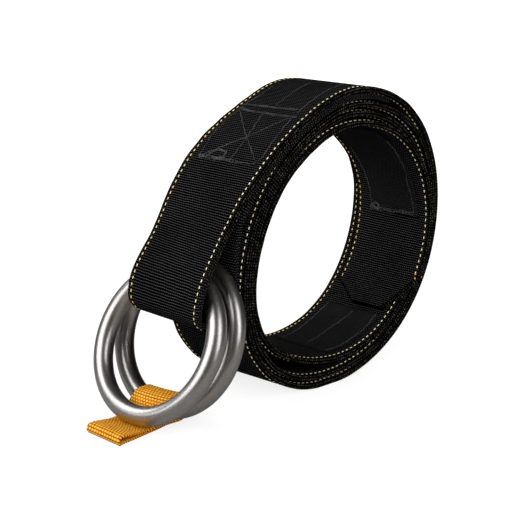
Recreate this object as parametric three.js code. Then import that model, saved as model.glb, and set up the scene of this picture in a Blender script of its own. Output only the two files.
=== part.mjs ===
import * as THREE from 'three';

// A ring belt stored as a coil that stands on its edge: one long two-ply webbing strap rolled up from its tip,
// two round steel rings held in a sewn loop at the strap's other end, two webbing patches sewn to the inside
// of the strap, and an orange webbing pull tab looped round the lower limb of the back ring.
//
// Millimetres, +Z up. The coil's axis runs along Y and its near rim faces -Y. The rings hang on the -X side.
// The origin is on the floor under the coil's axis, where the outermost turn lies flat.

// Clear space between neighbouring pieces and between plies that lie on each other
const GAP = 0.3;

// Strap
const STRAP_WIDTH = 45;
const STRAP_THICKNESS = 2.5;
const AXIS_HEIGHT = 67.4;
const LEAVING_ANGLE = 1245;
const TURN_ANGLE_STEP = 5;
const RETURN_START_ANGLE = 145;
const RETURN_END_ANGLE = 55;
const TURNS_BEFORE_RETURN = 3;
const LOOP_STATIONS = 44;
const RADIUS_SMOOTHING = 12;

// Radius of the strap's middle about the coil's axis, at the coil's near rim. A row every 15 degrees
// round the coil, counted from +X towards +Z, and a column for each turn from the tip outwards.
const TURN_RADII = [
  { angle: -45, first: 58.7, second: 61.5, third: 64.3, fourth: 67.1 },
  { angle: -30, first: 58.7, second: 61.5, third: 64.3, fourth: 67.2 },
  { angle: -15, first: 58.5, second: 61.4, third: 64.2, fourth: 67.1 },
  { angle: 0, first: 58.0, second: 61.6, third: 64.5, fourth: 67.4 },
  { angle: 15, first: 56.7, second: 60.7, third: 64.3, fourth: 67.4 },
  { angle: 30, first: 54.7, second: 59.1, third: 63.5, fourth: 66.9 },
  { angle: 45, first: 50.9, second: 55.0, third: 59.3, fourth: 65.2 },
  { angle: 60, first: 46.4, second: 50.6, third: 54.4, fourth: 60.8 },
  { angle: 75, first: 43.0, second: 46.9, third: 50.9, fourth: 57.3 },
  { angle: 90, first: 39.6, second: 42.5, third: 45.6, fourth: 51.5 },
  { angle: 105, first: 36.3, second: 39.1, third: 41.9, fourth: 47.6 },
  { angle: 120, first: 34.5, second: 37.3, third: 40.1, fourth: 45.9 },
  { angle: 135, first: 34.2, second: 37.1, third: 40.0, fourth: 46.1 },
  { angle: 150, first: 34.0, second: 37.2, third: 40.4, fourth: 48.8 },
  { angle: 165, first: 35.1, second: 38.4, third: 41.6, fourth: 52.8 },
  { angle: 180, first: 37.4, second: 40.8, third: 44.4, fourth: 63.0 },
  { angle: 195, first: 41.5, second: 44.9, third: 48.4 },
  { angle: 210, first: 46.8, second: 50.0, third: 53.3 },
  { angle: 225, first: 52.9, second: 57.2, third: 60.9 },
  { angle: 240, first: 55.3, second: 61.6, third: 65.2 },
  { angle: 255, first: 55.1, second: 63.0, third: 66.4 },
  { angle: 270, first: 57.0, second: 62.6, third: 66.8 },
  { angle: 285, first: 59.2, second: 63.1, third: 66.5 },
  { angle: 300, first: 61.2, second: 64.2, third: 67.0 },
];
const TURNS = ['first', 'second', 'third', 'fourth'];

// How much further from the axis the strap lies at the coil's far rim than at its near rim, round the coil
const FAR_RISES = [
  { angle: -60, rise: 1.8 },
  { angle: -45, rise: 2.3 },
  { angle: 5, rise: 2.3 },
  { angle: 18, rise: 0.8 },
  { angle: 30, rise: -1.0 },
  { angle: 50, rise: -1.4 },
  { angle: 65, rise: -0.7 },
  { angle: 80, rise: -1.0 },
  { angle: 95, rise: -1.7 },
  { angle: 110, rise: -1.2 },
  { angle: 130, rise: 0.0 },
  { angle: 180, rise: 0.0 },
  { angle: 200, rise: 1.2 },
  { angle: 215, rise: 2.4 },
  { angle: 235, rise: 1.8 },
  { angle: 255, rise: 0.9 },
  { angle: 270, rise: 0.8 },
  { angle: 285, rise: 1.2 },
  { angle: 300, rise: 1.8 },
];

// Sideways place of the strap's middle, by the angle counted on from the tip through all the turns
const TURN_SLIDES = [
  { angle: -48, y: -6.0 },
  { angle: 0, y: -5.5 },
  { angle: 45, y: -4.0 },
  { angle: 90, y: -2.0 },
  { angle: 150, y: -0.5 },
  { angle: 210, y: 1.0 },
  { angle: 330, y: 0.5 },
  { angle: 450, y: 0.0 },
  { angle: 690, y: -0.5 },
  { angle: 930, y: -1.0 },
  { angle: 1080, y: 0.0 },
  { angle: 1200, y: -1.2 },
  { angle: 1230, y: -1.9 },
  { angle: 1245, y: -3.0 },
];
const RETURN_SLIDES = { start: -0.6, end: -1 };

// The strap's middle round the two rings: down in front of the front ring, under, and up behind the back ring.
// 'y' is its sideways place, and 'lean' is how far its near edge leans out and its far edge in.
const RING_LOOP = [
  { x: -57.6, y: -4.2, z: 75.1, lean: 2.2 },
  { x: -64.0, y: -6.0, z: 68.2, lean: 2.5 },
  { x: -70.8, y: -7.7, z: 61.2, lean: 1.8 },
  { x: -74.4, y: -8.5, z: 56.0, lean: 1.2 },
  { x: -75.8, y: -8.9, z: 51.5, lean: 0.5 },
  { x: -75.8, y: -8.9, z: 46.5, lean: 0.0 },
  { x: -73.5, y: -8.3, z: 42.9, lean: 0.0 },
  { x: -69.5, y: -7.5, z: 40.7, lean: 0.0 },
  { x: -63.5, y: -7.0, z: 40.3, lean: 0.0 },
  { x: -57.8, y: -5.0, z: 42.2, lean: 0.0 },
  { x: -53.7, y: -2.2, z: 46.6, lean: -0.4 },
  { x: -51.0, y: 0.4, z: 53.0, lean: -0.8 },
  { x: -50.3, y: 1.3, z: 60.0, lean: -0.5 },
  { x: -50.0, y: 0.4, z: 69.0, lean: -0.1 },
  { x: -48.3, y: -1.0, z: 79.0, lean: 0.2 },
];
const LEAN_START_ANGLE = 1225;
const LEAN_AT_LOOP = 1.3;
const EDGE_CLEARANCE = 0.4;
const EDGE_SCAN_STEP = 0.1;
const EDGE_SMOOTHING = 3;

// The strap's tip is cut off at both corners, further back on its near edge. The rows of the tip stand at these
// angles.
const TIP_ROW_ANGLES = [-48, -44.8, -41.6, -38.4, -35];
const TIP_NEAR_CUT = { angle: -30, slope: 0.66 };
const TIP_FAR_CUT = { angle: -38.4, slope: 1.53 };

// Patches sewn to the strap's inner face, on the first turn
const PATCH_THICKNESS = 1.0;
const UPPER_PATCH = { from: -5, to: 50, width: 28, startY: -8, endY: -1 };
const LOWER_PATCH = { from: 275, to: 309.5, width: 32, startY: -0.5, endY: -0.5 };

// Rings. Yaw turns a ring's face about Z, and tilt leans its top towards the coil.
const RING_RADIUS = 29;
const WIRE_RADIUS = 3.9;
const WIRE_SIDES = 16;
const RING_STEPS = 60;
const FRONT_RING = { centre: new THREE.Vector3(-78.1, -6.8, 32.5), yaw: 3.1, tilt: 27.5 };
const BACK_RING = { centre: new THREE.Vector3(-66.7, -5.3, 32.6), yaw: 5.0, tilt: 20.6 };

// Pull tab
const TAB_WIDTH = 20;
const TAB_THICKNESS = 1.1;
const TAB_CLEARANCE = 0.6;
const TAB_COLUMN_STEPS = 8;
const TAB_SAMPLES_PER_POINT = 3;
const TAB_FOLD_END = -106.3;
const TAB_FOLD_HEIGHT = 4.5;
const TAB_SLIDES = { lowerFold: -7.3, ring: -2.2, upperFold: -7.7 };
const TAB_RUN_SHARES = [0, 0.25, 0.5, 0.75, 1];
const TAB_RUN_STOP = 1;
const TAB_CURL_ANGLES = [-60, -30];
const TAB_ARCH_ANGLES = [0, 30, 60, 90];
const TAB_FOLD_ANGLES = [90, 135, 180, 225];

// The tab's upper ply on its way down from the back ring's lower limb to under the front ring's, in shares of
// the distance and of the height between them
const TAB_FALL = [
  { along: 0.34, height: 0.86 },
  { along: 0.58, height: 0.4 },
  { along: 0.8, height: 0.05 },
  { along: 1.0, height: 0.0 },
];

// The upper ply's rise from under the front ring to the top of the fold
const TAB_RISE = [
  { beyondFold: 9.0, height: 0.3 },
  { beyondFold: 4.5, height: 0.85 },
];

const strapMaterial = new THREE.MeshStandardMaterial({ color: 0x151517, roughness: 0.9, metalness: 0 });
const patchMaterial = new THREE.MeshStandardMaterial({ color: 0x111113, roughness: 0.95, metalness: 0 });
const steelMaterial = new THREE.MeshStandardMaterial({ color: 0xb8b6b3, roughness: 0.25, metalness: 1 });
const tabMaterial = new THREE.MeshStandardMaterial({ color: 0xe8991f, roughness: 0.85, metalness: 0 });

// Straight-line reading of a table at a place between its rows
function readTable(rows, key, value, place) {
  const last = rows.length - 1;
  if (place <= rows[0][key]) {
    return rows[0][value];
  }
  if (place >= rows[last][key]) {
    return rows[last][value];
  }
  const above = rows.findIndex((row) => row[key] > place);
  const low = rows[above - 1];
  const high = rows[above];
  const share = (place - low[key]) / (high[key] - low[key]);
  return THREE.MathUtils.lerp(low[value], high[value], share);
}

// The turn table as one run of radii, from the tip to where the strap leaves for the rings
function unrolledRadii() {
  const rows = [];
  TURNS.forEach((turn, lap) => {
    TURN_RADII.forEach((row) => {
      if (row[turn] !== undefined) {
        rows.push({ angle: row.angle + 360 * lap, radius: row[turn] });
      }
    });
  });
  return rows;
}

const UNROLLED_RADII = unrolledRadii();

// Radius at the near rim at an angle counted on from the tip, averaged over a short stretch so that the strap bends
// softly
function turnRadius(angle) {
  const before = readTable(UNROLLED_RADII, 'angle', 'radius', angle - RADIUS_SMOOTHING);
  const here = readTable(UNROLLED_RADII, 'angle', 'radius', angle);
  const after = readTable(UNROLLED_RADII, 'angle', 'radius', angle + RADIUS_SMOOTHING);
  return (before + 2 * here + after) / 4;
}

// A point at a radius and an angle about the coil's axis. The strap rests on the floor and goes no lower.
function aboutAxis(radius, angle, y) {
  const turned = THREE.MathUtils.degToRad(angle);
  const x = radius * Math.cos(turned);
  const z = AXIS_HEIGHT + radius * Math.sin(turned);
  return new THREE.Vector3(x, y, Math.max(z, STRAP_THICKNESS / 2));
}

// Radius of the strap's middle at an angle counted on from the tip and at a Y
function strapRadius(angle, y) {
  const start = FAR_RISES[0].angle;
  const round = ((angle - start) % 360) + start;
  const rise = readTable(FAR_RISES, 'angle', 'rise', round);
  return turnRadius(angle) + rise * (y / STRAP_WIDTH + 0.5);
}

// Radius at a depth under the strap's middle, measured square to the strap where it runs askew to a circle
function radiusUnder(angle, y, depth) {
  const radius = strapRadius(angle, y);
  const climb = strapRadius(angle + TURN_ANGLE_STEP, y) - strapRadius(angle - TURN_ANGLE_STEP, y);
  const run = radius * THREE.MathUtils.degToRad(2 * TURN_ANGLE_STEP);
  return radius - depth * Math.hypot(1, climb / run);
}

// Angles from one value to another in equal steps of about the given size, both ends included
function angleSteps(from, to, size) {
  const count = Math.round(Math.abs(to - from) / size);
  return Array.from({ length: count + 1 }, (_, index) => from + ((to - from) * index) / count);
}

// Near and far edge of the strap at an angle counted from the tip, with the tip's cut corners
function strapEdges(angle) {
  const middle = readTable(TURN_SLIDES, 'angle', 'y', angle);
  const nearCut = Math.max(0, TIP_NEAR_CUT.angle - angle) * TIP_NEAR_CUT.slope;
  const farCut = Math.max(0, TIP_FAR_CUT.angle - angle) * TIP_FAR_CUT.slope;
  return [middle - STRAP_WIDTH / 2 + nearCut, middle + STRAP_WIDTH / 2 - farCut];
}

// Mid-surface rows of the coil, from the tip to where the strap leaves for the rings
function coilRows() {
  const turnAngles = angleSteps(TIP_NEAR_CUT.angle, LEAVING_ANGLE, TURN_ANGLE_STEP);
  return [...TIP_ROW_ANGLES, ...turnAngles].map((angle) => {
    const lean = LEAN_AT_LOOP * Math.max(0, (angle - LEAN_START_ANGLE) / (LEAVING_ANGLE - LEAN_START_ANGLE));
    const [near, far] = strapEdges(angle);
    const nearRadius = strapRadius(angle, near) + lean;
    const farRadius = strapRadius(angle, far) - lean;
    return [aboutAxis(nearRadius, angle, near), aboutAxis(farRadius, angle, far)];
  });
}

// Mid-surface rows of the end that comes back from the rings, one ply inside the fourth turn
function returnRows() {
  const angles = angleSteps(RETURN_START_ANGLE, RETURN_END_ANGLE, TURN_ANGLE_STEP);
  return angles.map((angle, index) => {
    const middle = THREE.MathUtils.lerp(RETURN_SLIDES.start, RETURN_SLIDES.end, index / (angles.length - 1));
    return [-0.5, 0.5].map((side) => {
      const y = middle + side * STRAP_WIDTH;
      const outerRadius = strapRadius(angle + 360 * TURNS_BEFORE_RETURN, y);
      return aboutAxis(outerRadius - STRAP_THICKNESS - GAP, angle, y);
    });
  });
}

// Unit vectors of a ring: up in its plane, across in its plane, and out of its face
function ringAxes({ yaw, tilt }) {
  const turn = THREE.MathUtils.degToRad(yaw);
  const lean = THREE.MathUtils.degToRad(tilt);
  const out = new THREE.Vector3(
    -Math.cos(turn) * Math.cos(lean),
    -Math.sin(turn) * Math.cos(lean),
    Math.sin(lean),
  );
  const across = new THREE.Vector3(0, 0, 1).cross(out).normalize();
  const up = new THREE.Vector3().crossVectors(out, across);
  return { up, across, out };
}

// Centre of the wire of a ring's lower limb where the limb crosses a given Y, and how much higher than a level
// wire its top stands there because it slopes. 'turn' is how far round from the ring's lowest point that is.
function lowerLimb(ring, y) {
  const { up, across } = ringAxes(ring);
  const share = (y - ring.centre.y) / (RING_RADIUS * Math.hypot(across.y, up.y));
  const turn = Math.asin(share) + Math.atan2(up.y, -across.y);
  const limb = ring.centre.clone();
  limb.addScaledVector(across, -RING_RADIUS * Math.sin(turn));
  limb.addScaledVector(up, -RING_RADIUS * Math.cos(turn));
  const aside = RING_RADIUS * Math.sin(turn);
  const innerDrop = Math.sqrt((RING_RADIUS - WIRE_RADIUS) ** 2 - aside ** 2);
  return { x: limb.x, z: limb.z, slopeRise: RING_RADIUS * Math.cos(turn) - innerDrop - WIRE_RADIUS };
}

// Distance from a point to the middle of a ring's wire
function wireDistance(ring, point) {
  const offset = point.clone().sub(ring.centre);
  const height = offset.dot(ringAxes(ring).out);
  const inPlane = Math.sqrt(Math.max(0, offset.lengthSq() - height * height));
  return Math.hypot(height, inPlane - RING_RADIUS);
}

// Whether the strap's middle can lie at a point without coming too close to either ring's wire
function clearsRings(point) {
  const reach = WIRE_RADIUS + STRAP_THICKNESS / 2 + EDGE_CLEARANCE;
  return [FRONT_RING, BACK_RING].every((ring) => wireDistance(ring, point) >= reach);
}

// How far the strap reaches to one side of its middle before it meets a ring, up to its half width. 'lean' is
// how far that side's edge stands towards +X.
function clearReach(middle, side, lean) {
  const half = STRAP_WIDTH / 2;
  const point = middle.clone();
  let reach = 0;
  while (reach < half && clearsRings(point)) {
    reach += EDGE_SCAN_STEP;
    point.y = middle.y + side * reach;
    point.x = middle.x + (lean * reach) / half;
  }
  return Math.min(reach, half);
}

// Each value lowered to the smallest near it and then averaged, so that no value grows and none jumps
function softened(values) {
  const around = (list, index) => list.slice(Math.max(0, index - EDGE_SMOOTHING), index + EDGE_SMOOTHING + 1);
  const lowest = values.map((_, index) => Math.min(...around(values, index)));
  return lowest.map((_, index) => {
    const near = around(lowest, index);
    return near.reduce((sum, value) => sum + value, 0) / near.length;
  });
}

// Mid-surface rows of the loop that holds the rings, a smooth curve between the coil and the returning end.
// The strap is drawn in where it passes through the rings.
function loopRows(coil, returning) {
  const middles = (row) => new THREE.Vector3().addVectors(row[0], row[1]).divideScalar(2);
  const loop = RING_LOOP.map(({ x, y, z }) => new THREE.Vector3(x, y, z));
  const lead = coil.slice(-2).map(middles);
  const tail = returning.slice(0, 2).map(middles);
  const curve = new THREE.CatmullRomCurve3([...lead, ...loop, ...tail]);
  const leans = [0, LEAN_AT_LOOP, ...RING_LOOP.map((row) => row.lean), 0, 0];
  const leanRows = leans.map((lean, index) => ({ share: index / (leans.length - 1), lean }));
  const first = 1 / (leans.length - 1);
  const shares = Array.from({ length: LOOP_STATIONS - 1 }, (_, index) => (
    first + ((index + 1) / LOOP_STATIONS) * (1 - 2 * first)
  ));
  const points = shares.map((share) => curve.getPoint(share));
  const lean = shares.map((share) => readTable(leanRows, 'share', 'lean', share));
  const nearReach = softened(points.map((point, index) => clearReach(point, -1, -lean[index])));
  const farReach = softened(points.map((point, index) => clearReach(point, 1, lean[index])));
  return points.map(({ x, y, z }, index) => {
    const slope = lean[index] / (STRAP_WIDTH / 2);
    const near = new THREE.Vector3(x - slope * nearReach[index], y - nearReach[index], z);
    const far = new THREE.Vector3(x + slope * farReach[index], y + farReach[index], z);
    return [near, far];
  });
}

// Unit normal of the step from one point to the next, in the XZ plane
function stepNormal(from, to) {
  const length = Math.hypot(to.x - from.x, to.z - from.z);
  return new THREE.Vector3(-(to.z - from.z) / length, 0, (to.x - from.x) / length);
}

// How far and which way to shift a mid-surface point so that both its neighbouring walls keep their thickness
function wallShift(rows, index, column, half, closed) {
  const count = rows.length;
  const here = rows[index][column];
  const hasBefore = closed || index > 0;
  const hasAfter = closed || index < count - 1;
  const before = hasBefore ? stepNormal(rows[(index + count - 1) % count][column], here) : null;
  const after = hasAfter ? stepNormal(here, rows[(index + 1) % count][column]) : null;
  const normal = new THREE.Vector3();
  normal.add(before ?? after);
  normal.add(after ?? before);
  normal.normalize();
  return normal.multiplyScalar(half / normal.dot(before ?? after));
}

// A closed body of even thickness on a mid-surface given as rows of points, each row running from -Y to +Y.
// A closed sheet joins its last row to its first, and an open one ends in two flat end walls.
function sheetSolid(rows, thickness, closed = false) {
  const columns = rows[0].length;
  const positions = [];
  rows.forEach((row, index) => {
    row.forEach((point, column) => {
      const shift = wallShift(rows, index, column, thickness / 2, closed);
      positions.push(point.x + shift.x, point.y, point.z + shift.z);
      positions.push(point.x - shift.x, point.y, point.z - shift.z);
    });
  });
  const upper = (row, column) => 2 * ((row % rows.length) * columns + column);
  const lower = (row, column) => upper(row, column) + 1;
  const indices = [];
  const quad = (a, b, c, d) => indices.push(a, b, c, a, c, d);
  const steps = closed ? rows.length : rows.length - 1;
  const edge = columns - 1;
  for (let row = 0; row < steps; row += 1) {
    for (let column = 0; column < edge; column += 1) {
      quad(upper(row, column), upper(row + 1, column), upper(row + 1, column + 1), upper(row, column + 1));
      quad(lower(row, column + 1), lower(row + 1, column + 1), lower(row + 1, column), lower(row, column));
    }
    quad(lower(row, 0), lower(row + 1, 0), upper(row + 1, 0), upper(row, 0));
    quad(upper(row, edge), upper(row + 1, edge), lower(row + 1, edge), lower(row, edge));
  }
  if (!closed) {
    for (let column = 0; column < edge; column += 1) {
      quad(lower(0, column), upper(0, column), upper(0, column + 1), lower(0, column + 1));
      quad(lower(steps, column + 1), upper(steps, column + 1), upper(steps, column), lower(steps, column));
    }
  }
  const geometry = new THREE.BufferGeometry();
  geometry.setAttribute('position', new THREE.Float32BufferAttribute(positions, 3));
  geometry.setIndex(indices);
  geometry.computeVertexNormals();
  return geometry;
}

function namedMesh(name, geometry, material) {
  const mesh = new THREE.Mesh(geometry, material);
  mesh.name = name;
  return mesh;
}

function beltStrap() {
  const coil = coilRows();
  const returning = returnRows();
  const rows = [...coil, ...loopRows(coil, returning), ...returning];
  return namedMesh('belt_strap', sheetSolid(rows, STRAP_THICKNESS), strapMaterial);
}

// A patch lies on the inner face of the first turn, a small gap off it
function innerPatch(name, { from, to, width, startY, endY }) {
  const angles = angleSteps(from, to, TURN_ANGLE_STEP);
  const depth = STRAP_THICKNESS / 2 + GAP + PATCH_THICKNESS / 2;
  const rows = angles.map((angle, index) => {
    const middle = THREE.MathUtils.lerp(startY, endY, index / (angles.length - 1));
    return [-0.5, 0.5].map((side) => {
      const y = middle + side * width;
      return aboutAxis(radiusUnder(angle, y, depth), angle, y);
    });
  });
  return namedMesh(name, sheetSolid(rows, PATCH_THICKNESS), patchMaterial);
}

function steelRing(name, ring) {
  const { up, across, out } = ringAxes(ring);
  const geometry = new THREE.TorusGeometry(RING_RADIUS, WIRE_RADIUS, WIRE_SIDES, RING_STEPS);
  const mesh = namedMesh(name, geometry, steelMaterial);
  mesh.quaternion.setFromRotationMatrix(new THREE.Matrix4().makeBasis(across, up, out));
  mesh.position.copy(ring.centre);
  return mesh;
}

// Points on an arc in XZ about a centre, a point for each angle
function arcPoints(centreX, centreZ, radius, angles) {
  return angles.map((angle) => {
    const turned = THREE.MathUtils.degToRad(angle);
    return { x: centreX + radius * Math.cos(turned), z: centreZ + radius * Math.sin(turned) };
  });
}

// Closed outline of the tab's middle at one place across its width, counted from the middle. It runs along the
// floor from the fold, round the back ring's lower limb, down under the front ring's and back to the fold.
function tabOutline(across) {
  const floorZ = TAB_THICKNESS / 2;
  const reach = WIRE_RADIUS + TAB_CLEARANCE + TAB_THICKNESS / 2;
  const underZ = floorZ + TAB_THICKNESS + GAP;
  const foldRadius = (TAB_FOLD_HEIGHT - TAB_THICKNESS) / 2;
  const foldX = TAB_FOLD_END + foldRadius;
  const foldTop = floorZ + 2 * foldRadius;
  const back = lowerLimb(BACK_RING, TAB_SLIDES.ring + across);
  const front = lowerLimb(FRONT_RING, TAB_SLIDES.ring + across);
  const archZ = back.z + back.slopeRise;
  const topZ = archZ + reach;
  const { lerp } = THREE.MathUtils;
  const outline = [];
  const add = (points, startSlide, endSlide) => {
    points.forEach(({ x, z }, index) => {
      const slide = lerp(startSlide, endSlide, (index + 1) / points.length);
      outline.push(new THREE.Vector3(x, slide + across, z));
    });
  };
  const floorRun = TAB_RUN_SHARES.map((share) => ({ x: lerp(foldX, back.x - TAB_RUN_STOP, share), z: floorZ }));
  const curl = arcPoints(back.x, floorZ + reach, reach, TAB_CURL_ANGLES);
  const over = arcPoints(back.x, archZ, reach, TAB_ARCH_ANGLES);
  const fall = TAB_FALL.map(({ along, height }) => ({
    x: lerp(back.x, front.x, along),
    z: lerp(underZ, topZ, height),
  }));
  const rise = TAB_RISE.map(({ beyondFold, height }) => ({
    x: foldX + beyondFold,
    z: lerp(underZ, foldTop, height),
  }));
  const fold = arcPoints(foldX, floorZ + foldRadius, foldRadius, TAB_FOLD_ANGLES);
  add(floorRun, TAB_SLIDES.lowerFold, TAB_SLIDES.ring);
  add(curl, TAB_SLIDES.ring, TAB_SLIDES.ring);
  add(over, TAB_SLIDES.ring, TAB_SLIDES.ring);
  add(fall, TAB_SLIDES.ring, TAB_SLIDES.upperFold);
  add(rise, TAB_SLIDES.upperFold, TAB_SLIDES.upperFold);
  add(fold, TAB_SLIDES.upperFold, TAB_SLIDES.lowerFold);
  return outline;
}

function pullTab() {
  const columns = angleSteps(-TAB_WIDTH / 2, TAB_WIDTH / 2, TAB_WIDTH / TAB_COLUMN_STEPS);
  const curves = columns.map((across) => new THREE.CatmullRomCurve3(tabOutline(across), true));
  const samples = TAB_SAMPLES_PER_POINT * curves[0].points.length;
  const rows = Array.from({ length: samples }, (_, index) => curves.map((curve) => {
    const point = curve.getPoint(index / samples);
    point.z = Math.max(point.z, TAB_THICKNESS / 2);
    return point;
  }));
  return namedMesh('pull_tab', sheetSolid(rows, TAB_THICKNESS, true), tabMaterial);
}

const ringBelt = new THREE.Group();
ringBelt.add(beltStrap());
ringBelt.add(innerPatch('upper_patch', UPPER_PATCH));
ringBelt.add(innerPatch('lower_patch', LOWER_PATCH));
ringBelt.add(steelRing('front_ring', FRONT_RING));
ringBelt.add(steelRing('back_ring', BACK_RING));
ringBelt.add(pullTab());

export default ringBelt;
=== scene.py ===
"""Looks of the ring belt: a coil of two-ply webbing on its edge, two steel rings in its sewn loop, two
patches inside the coil and an orange webbing pull tab."""

import bpy
import numpy as np
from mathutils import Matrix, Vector


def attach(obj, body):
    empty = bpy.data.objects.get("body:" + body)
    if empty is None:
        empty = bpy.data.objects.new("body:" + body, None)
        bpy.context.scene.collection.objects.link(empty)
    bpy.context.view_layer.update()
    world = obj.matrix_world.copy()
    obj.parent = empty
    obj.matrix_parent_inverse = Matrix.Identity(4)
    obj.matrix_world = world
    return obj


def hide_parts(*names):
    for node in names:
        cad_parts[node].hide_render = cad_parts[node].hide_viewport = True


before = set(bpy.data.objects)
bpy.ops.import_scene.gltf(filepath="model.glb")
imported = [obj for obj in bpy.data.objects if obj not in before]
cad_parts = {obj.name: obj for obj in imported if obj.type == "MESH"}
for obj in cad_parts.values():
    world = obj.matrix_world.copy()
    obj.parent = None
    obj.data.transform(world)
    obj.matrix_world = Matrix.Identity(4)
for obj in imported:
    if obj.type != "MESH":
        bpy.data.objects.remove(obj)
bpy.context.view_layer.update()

MM = 0.001
FULL_TURN = 360

# Sizes and tables below are in millimetres and degrees, as the solids have them.

# Strap
STRAP_WIDTH = 45.0
STRAP_THICKNESS = 2.5
AXIS_HEIGHT = 67.4
PLY_PITCH = 2.8
LEAVING_ANGLE = 1245.0
TURN_ANGLE_STEP = 5.0
RETURN_START_ANGLE = 145.0
RETURN_END_ANGLE = 55.0
LOOP_STATIONS = 44
RADIUS_SMOOTHING = 12.0
TIP_ROW_ANGLES = (-48.0, -44.8, -41.6, -38.4, -35.0)
TIP_NEAR_CUT = {"angle": -30.0, "slope": 0.66}
TIP_FAR_CUT = {"angle": -38.4, "slope": 1.53}

# The strap's turns in the coil, counted from the tip
INNER_LAP = 0
OUTER_LAP = 3

# Radius of the strap's middle about the coil's axis, at the coil's near rim: angle, first turn, second,
# third, fourth
TURN_RADII = (
    (-45, 58.7, 61.5, 64.3, 67.1),
    (-30, 58.7, 61.5, 64.3, 67.2),
    (-15, 58.5, 61.4, 64.2, 67.1),
    (0, 58.0, 61.6, 64.5, 67.4),
    (15, 56.7, 60.7, 64.3, 67.4),
    (30, 54.7, 59.1, 63.5, 66.9),
    (45, 50.9, 55.0, 59.3, 65.2),
    (60, 46.4, 50.6, 54.4, 60.8),
    (75, 43.0, 46.9, 50.9, 57.3),
    (90, 39.6, 42.5, 45.6, 51.5),
    (105, 36.3, 39.1, 41.9, 47.6),
    (120, 34.5, 37.3, 40.1, 45.9),
    (135, 34.2, 37.1, 40.0, 46.1),
    (150, 34.0, 37.2, 40.4, 48.8),
    (165, 35.1, 38.4, 41.6, 52.8),
    (180, 37.4, 40.8, 44.4, 63.0),
    (195, 41.5, 44.9, 48.4, None),
    (210, 46.8, 50.0, 53.3, None),
    (225, 52.9, 57.2, 60.9, None),
    (240, 55.3, 61.6, 65.2, None),
    (255, 55.1, 63.0, 66.4, None),
    (270, 57.0, 62.6, 66.8, None),
    (285, 59.2, 63.1, 66.5, None),
    (300, 61.2, 64.2, 67.0, None),
)

# How much further from the axis the strap lies at the coil's far rim than at its near rim: angle, rise
FAR_RISES = (
    (-60, 1.8),
    (-45, 2.3),
    (5, 2.3),
    (18, 0.8),
    (30, -1.0),
    (50, -1.4),
    (65, -0.7),
    (80, -1.0),
    (95, -1.7),
    (110, -1.2),
    (130, 0.0),
    (180, 0.0),
    (200, 1.2),
    (215, 2.4),
    (235, 1.8),
    (255, 0.9),
    (270, 0.8),
    (285, 1.2),
    (300, 1.8),
)

# Sideways place of the strap's middle: angle counted on from the tip, Y
TURN_SLIDES = (
    (-48, -6.0),
    (0, -5.5),
    (45, -4.0),
    (90, -2.0),
    (150, -0.5),
    (210, 1.0),
    (330, 0.5),
    (450, 0.0),
    (690, -0.5),
    (930, -1.0),
    (1080, 0.0),
    (1200, -1.2),
    (1230, -1.9),
    (1245, -3.0),
)

# The same for the end that comes back from the rings, at its start and at its end
RETURN_SLIDES = (-0.6, -1.0)

# The strap's middle round the two rings: X, Y, Z, lean of its near edge
RING_LOOP = (
    (-57.6, -4.2, 75.1, 2.2),
    (-64.0, -6.0, 68.2, 2.5),
    (-70.8, -7.7, 61.2, 1.8),
    (-74.4, -8.5, 56.0, 1.2),
    (-75.8, -8.9, 51.5, 0.5),
    (-75.8, -8.9, 46.5, 0.0),
    (-73.5, -8.3, 42.9, 0.0),
    (-69.5, -7.5, 40.7, 0.0),
    (-63.5, -7.0, 40.3, 0.0),
    (-57.8, -5.0, 42.2, 0.0),
    (-53.7, -2.2, 46.6, -0.4),
    (-51.0, 0.4, 53.0, -0.8),
    (-50.3, 1.3, 60.0, -0.5),
    (-50.0, 0.4, 69.0, -0.1),
    (-48.3, -1.0, 79.0, 0.2),
)

# Where the coil's edges start to lean before the loop, and how much they lean where it starts
LEAN_START_ANGLE = 1225.0
LEAN_AT_LOOP = 1.3

# How far the loop's edges keep off the wire, the step in which that is looked for, and how many stations to
# each side it is smoothed over
EDGE_CLEARANCE = 0.4
EDGE_SCAN_STEP = 0.1
EDGE_SMOOTHING = 3

# Patches on the first turn's inner face, and how much their weave slants
PATCH_THICKNESS = 1.0
UPPER_PATCH = {"from": -5.0, "to": 50.0, "width": 28.0, "start_y": -8.0, "end_y": -1.0, "slant": 0.0}
LOWER_PATCH = {"from": 275.0, "to": 309.5, "width": 32.0, "start_y": -0.5, "end_y": -0.5, "slant": 0.6}
GAP = 0.3

# Rings
RING_RADIUS = 29.0
WIRE_RADIUS = 3.9
FRONT_RING = {"centre": (-78.1, -6.8, 32.5), "yaw": 3.1, "tilt": 27.5}
BACK_RING = {"centre": (-66.7, -5.3, 32.6), "yaw": 5.0, "tilt": 20.6}

# Pull tab
TAB_WIDTH = 20.0
TAB_THICKNESS = 1.1
TAB_CLEARANCE = 0.6
TAB_FOLD_END = -106.3
TAB_FOLD_HEIGHT = 4.5

# Y of the tab's middle at five places of its outline
TAB_SLIDES = {
    "lower_fold": -7.3,
    "under_back": -2.0,
    "crest": -7.2,
    "under_front": -5.0,
    "upper_fold": -7.7,
}

# The tab's outline: shares of the way along the floor up to just before the back ring's limb, angles round
# that limb and round the fold, and the way down from the crest and on to the fold
TAB_RUN_SHARES = np.array([0, 0.25, 0.5, 0.75, 1])
TAB_RUN_STOP = 1.0
TAB_FOOT_ANGLES = (-60, -30)
TAB_ARCH_ANGLES = (0, 30, 60, 90)
TAB_FOLD_ANGLES = (90, 135, 180, 225)

# From the crest to under the front ring: share of the way, share of the height
TAB_FALL = (
    (0.36, 0.90),
    (0.60, 0.42),
    (0.80, 0.05),
    (1.00, 0.00),
)

# From there to the fold: distance from the fold, share of the fold's height
TAB_RISE = (
    (9.0, 0.30),
    (4.5, 0.85),
)

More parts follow.
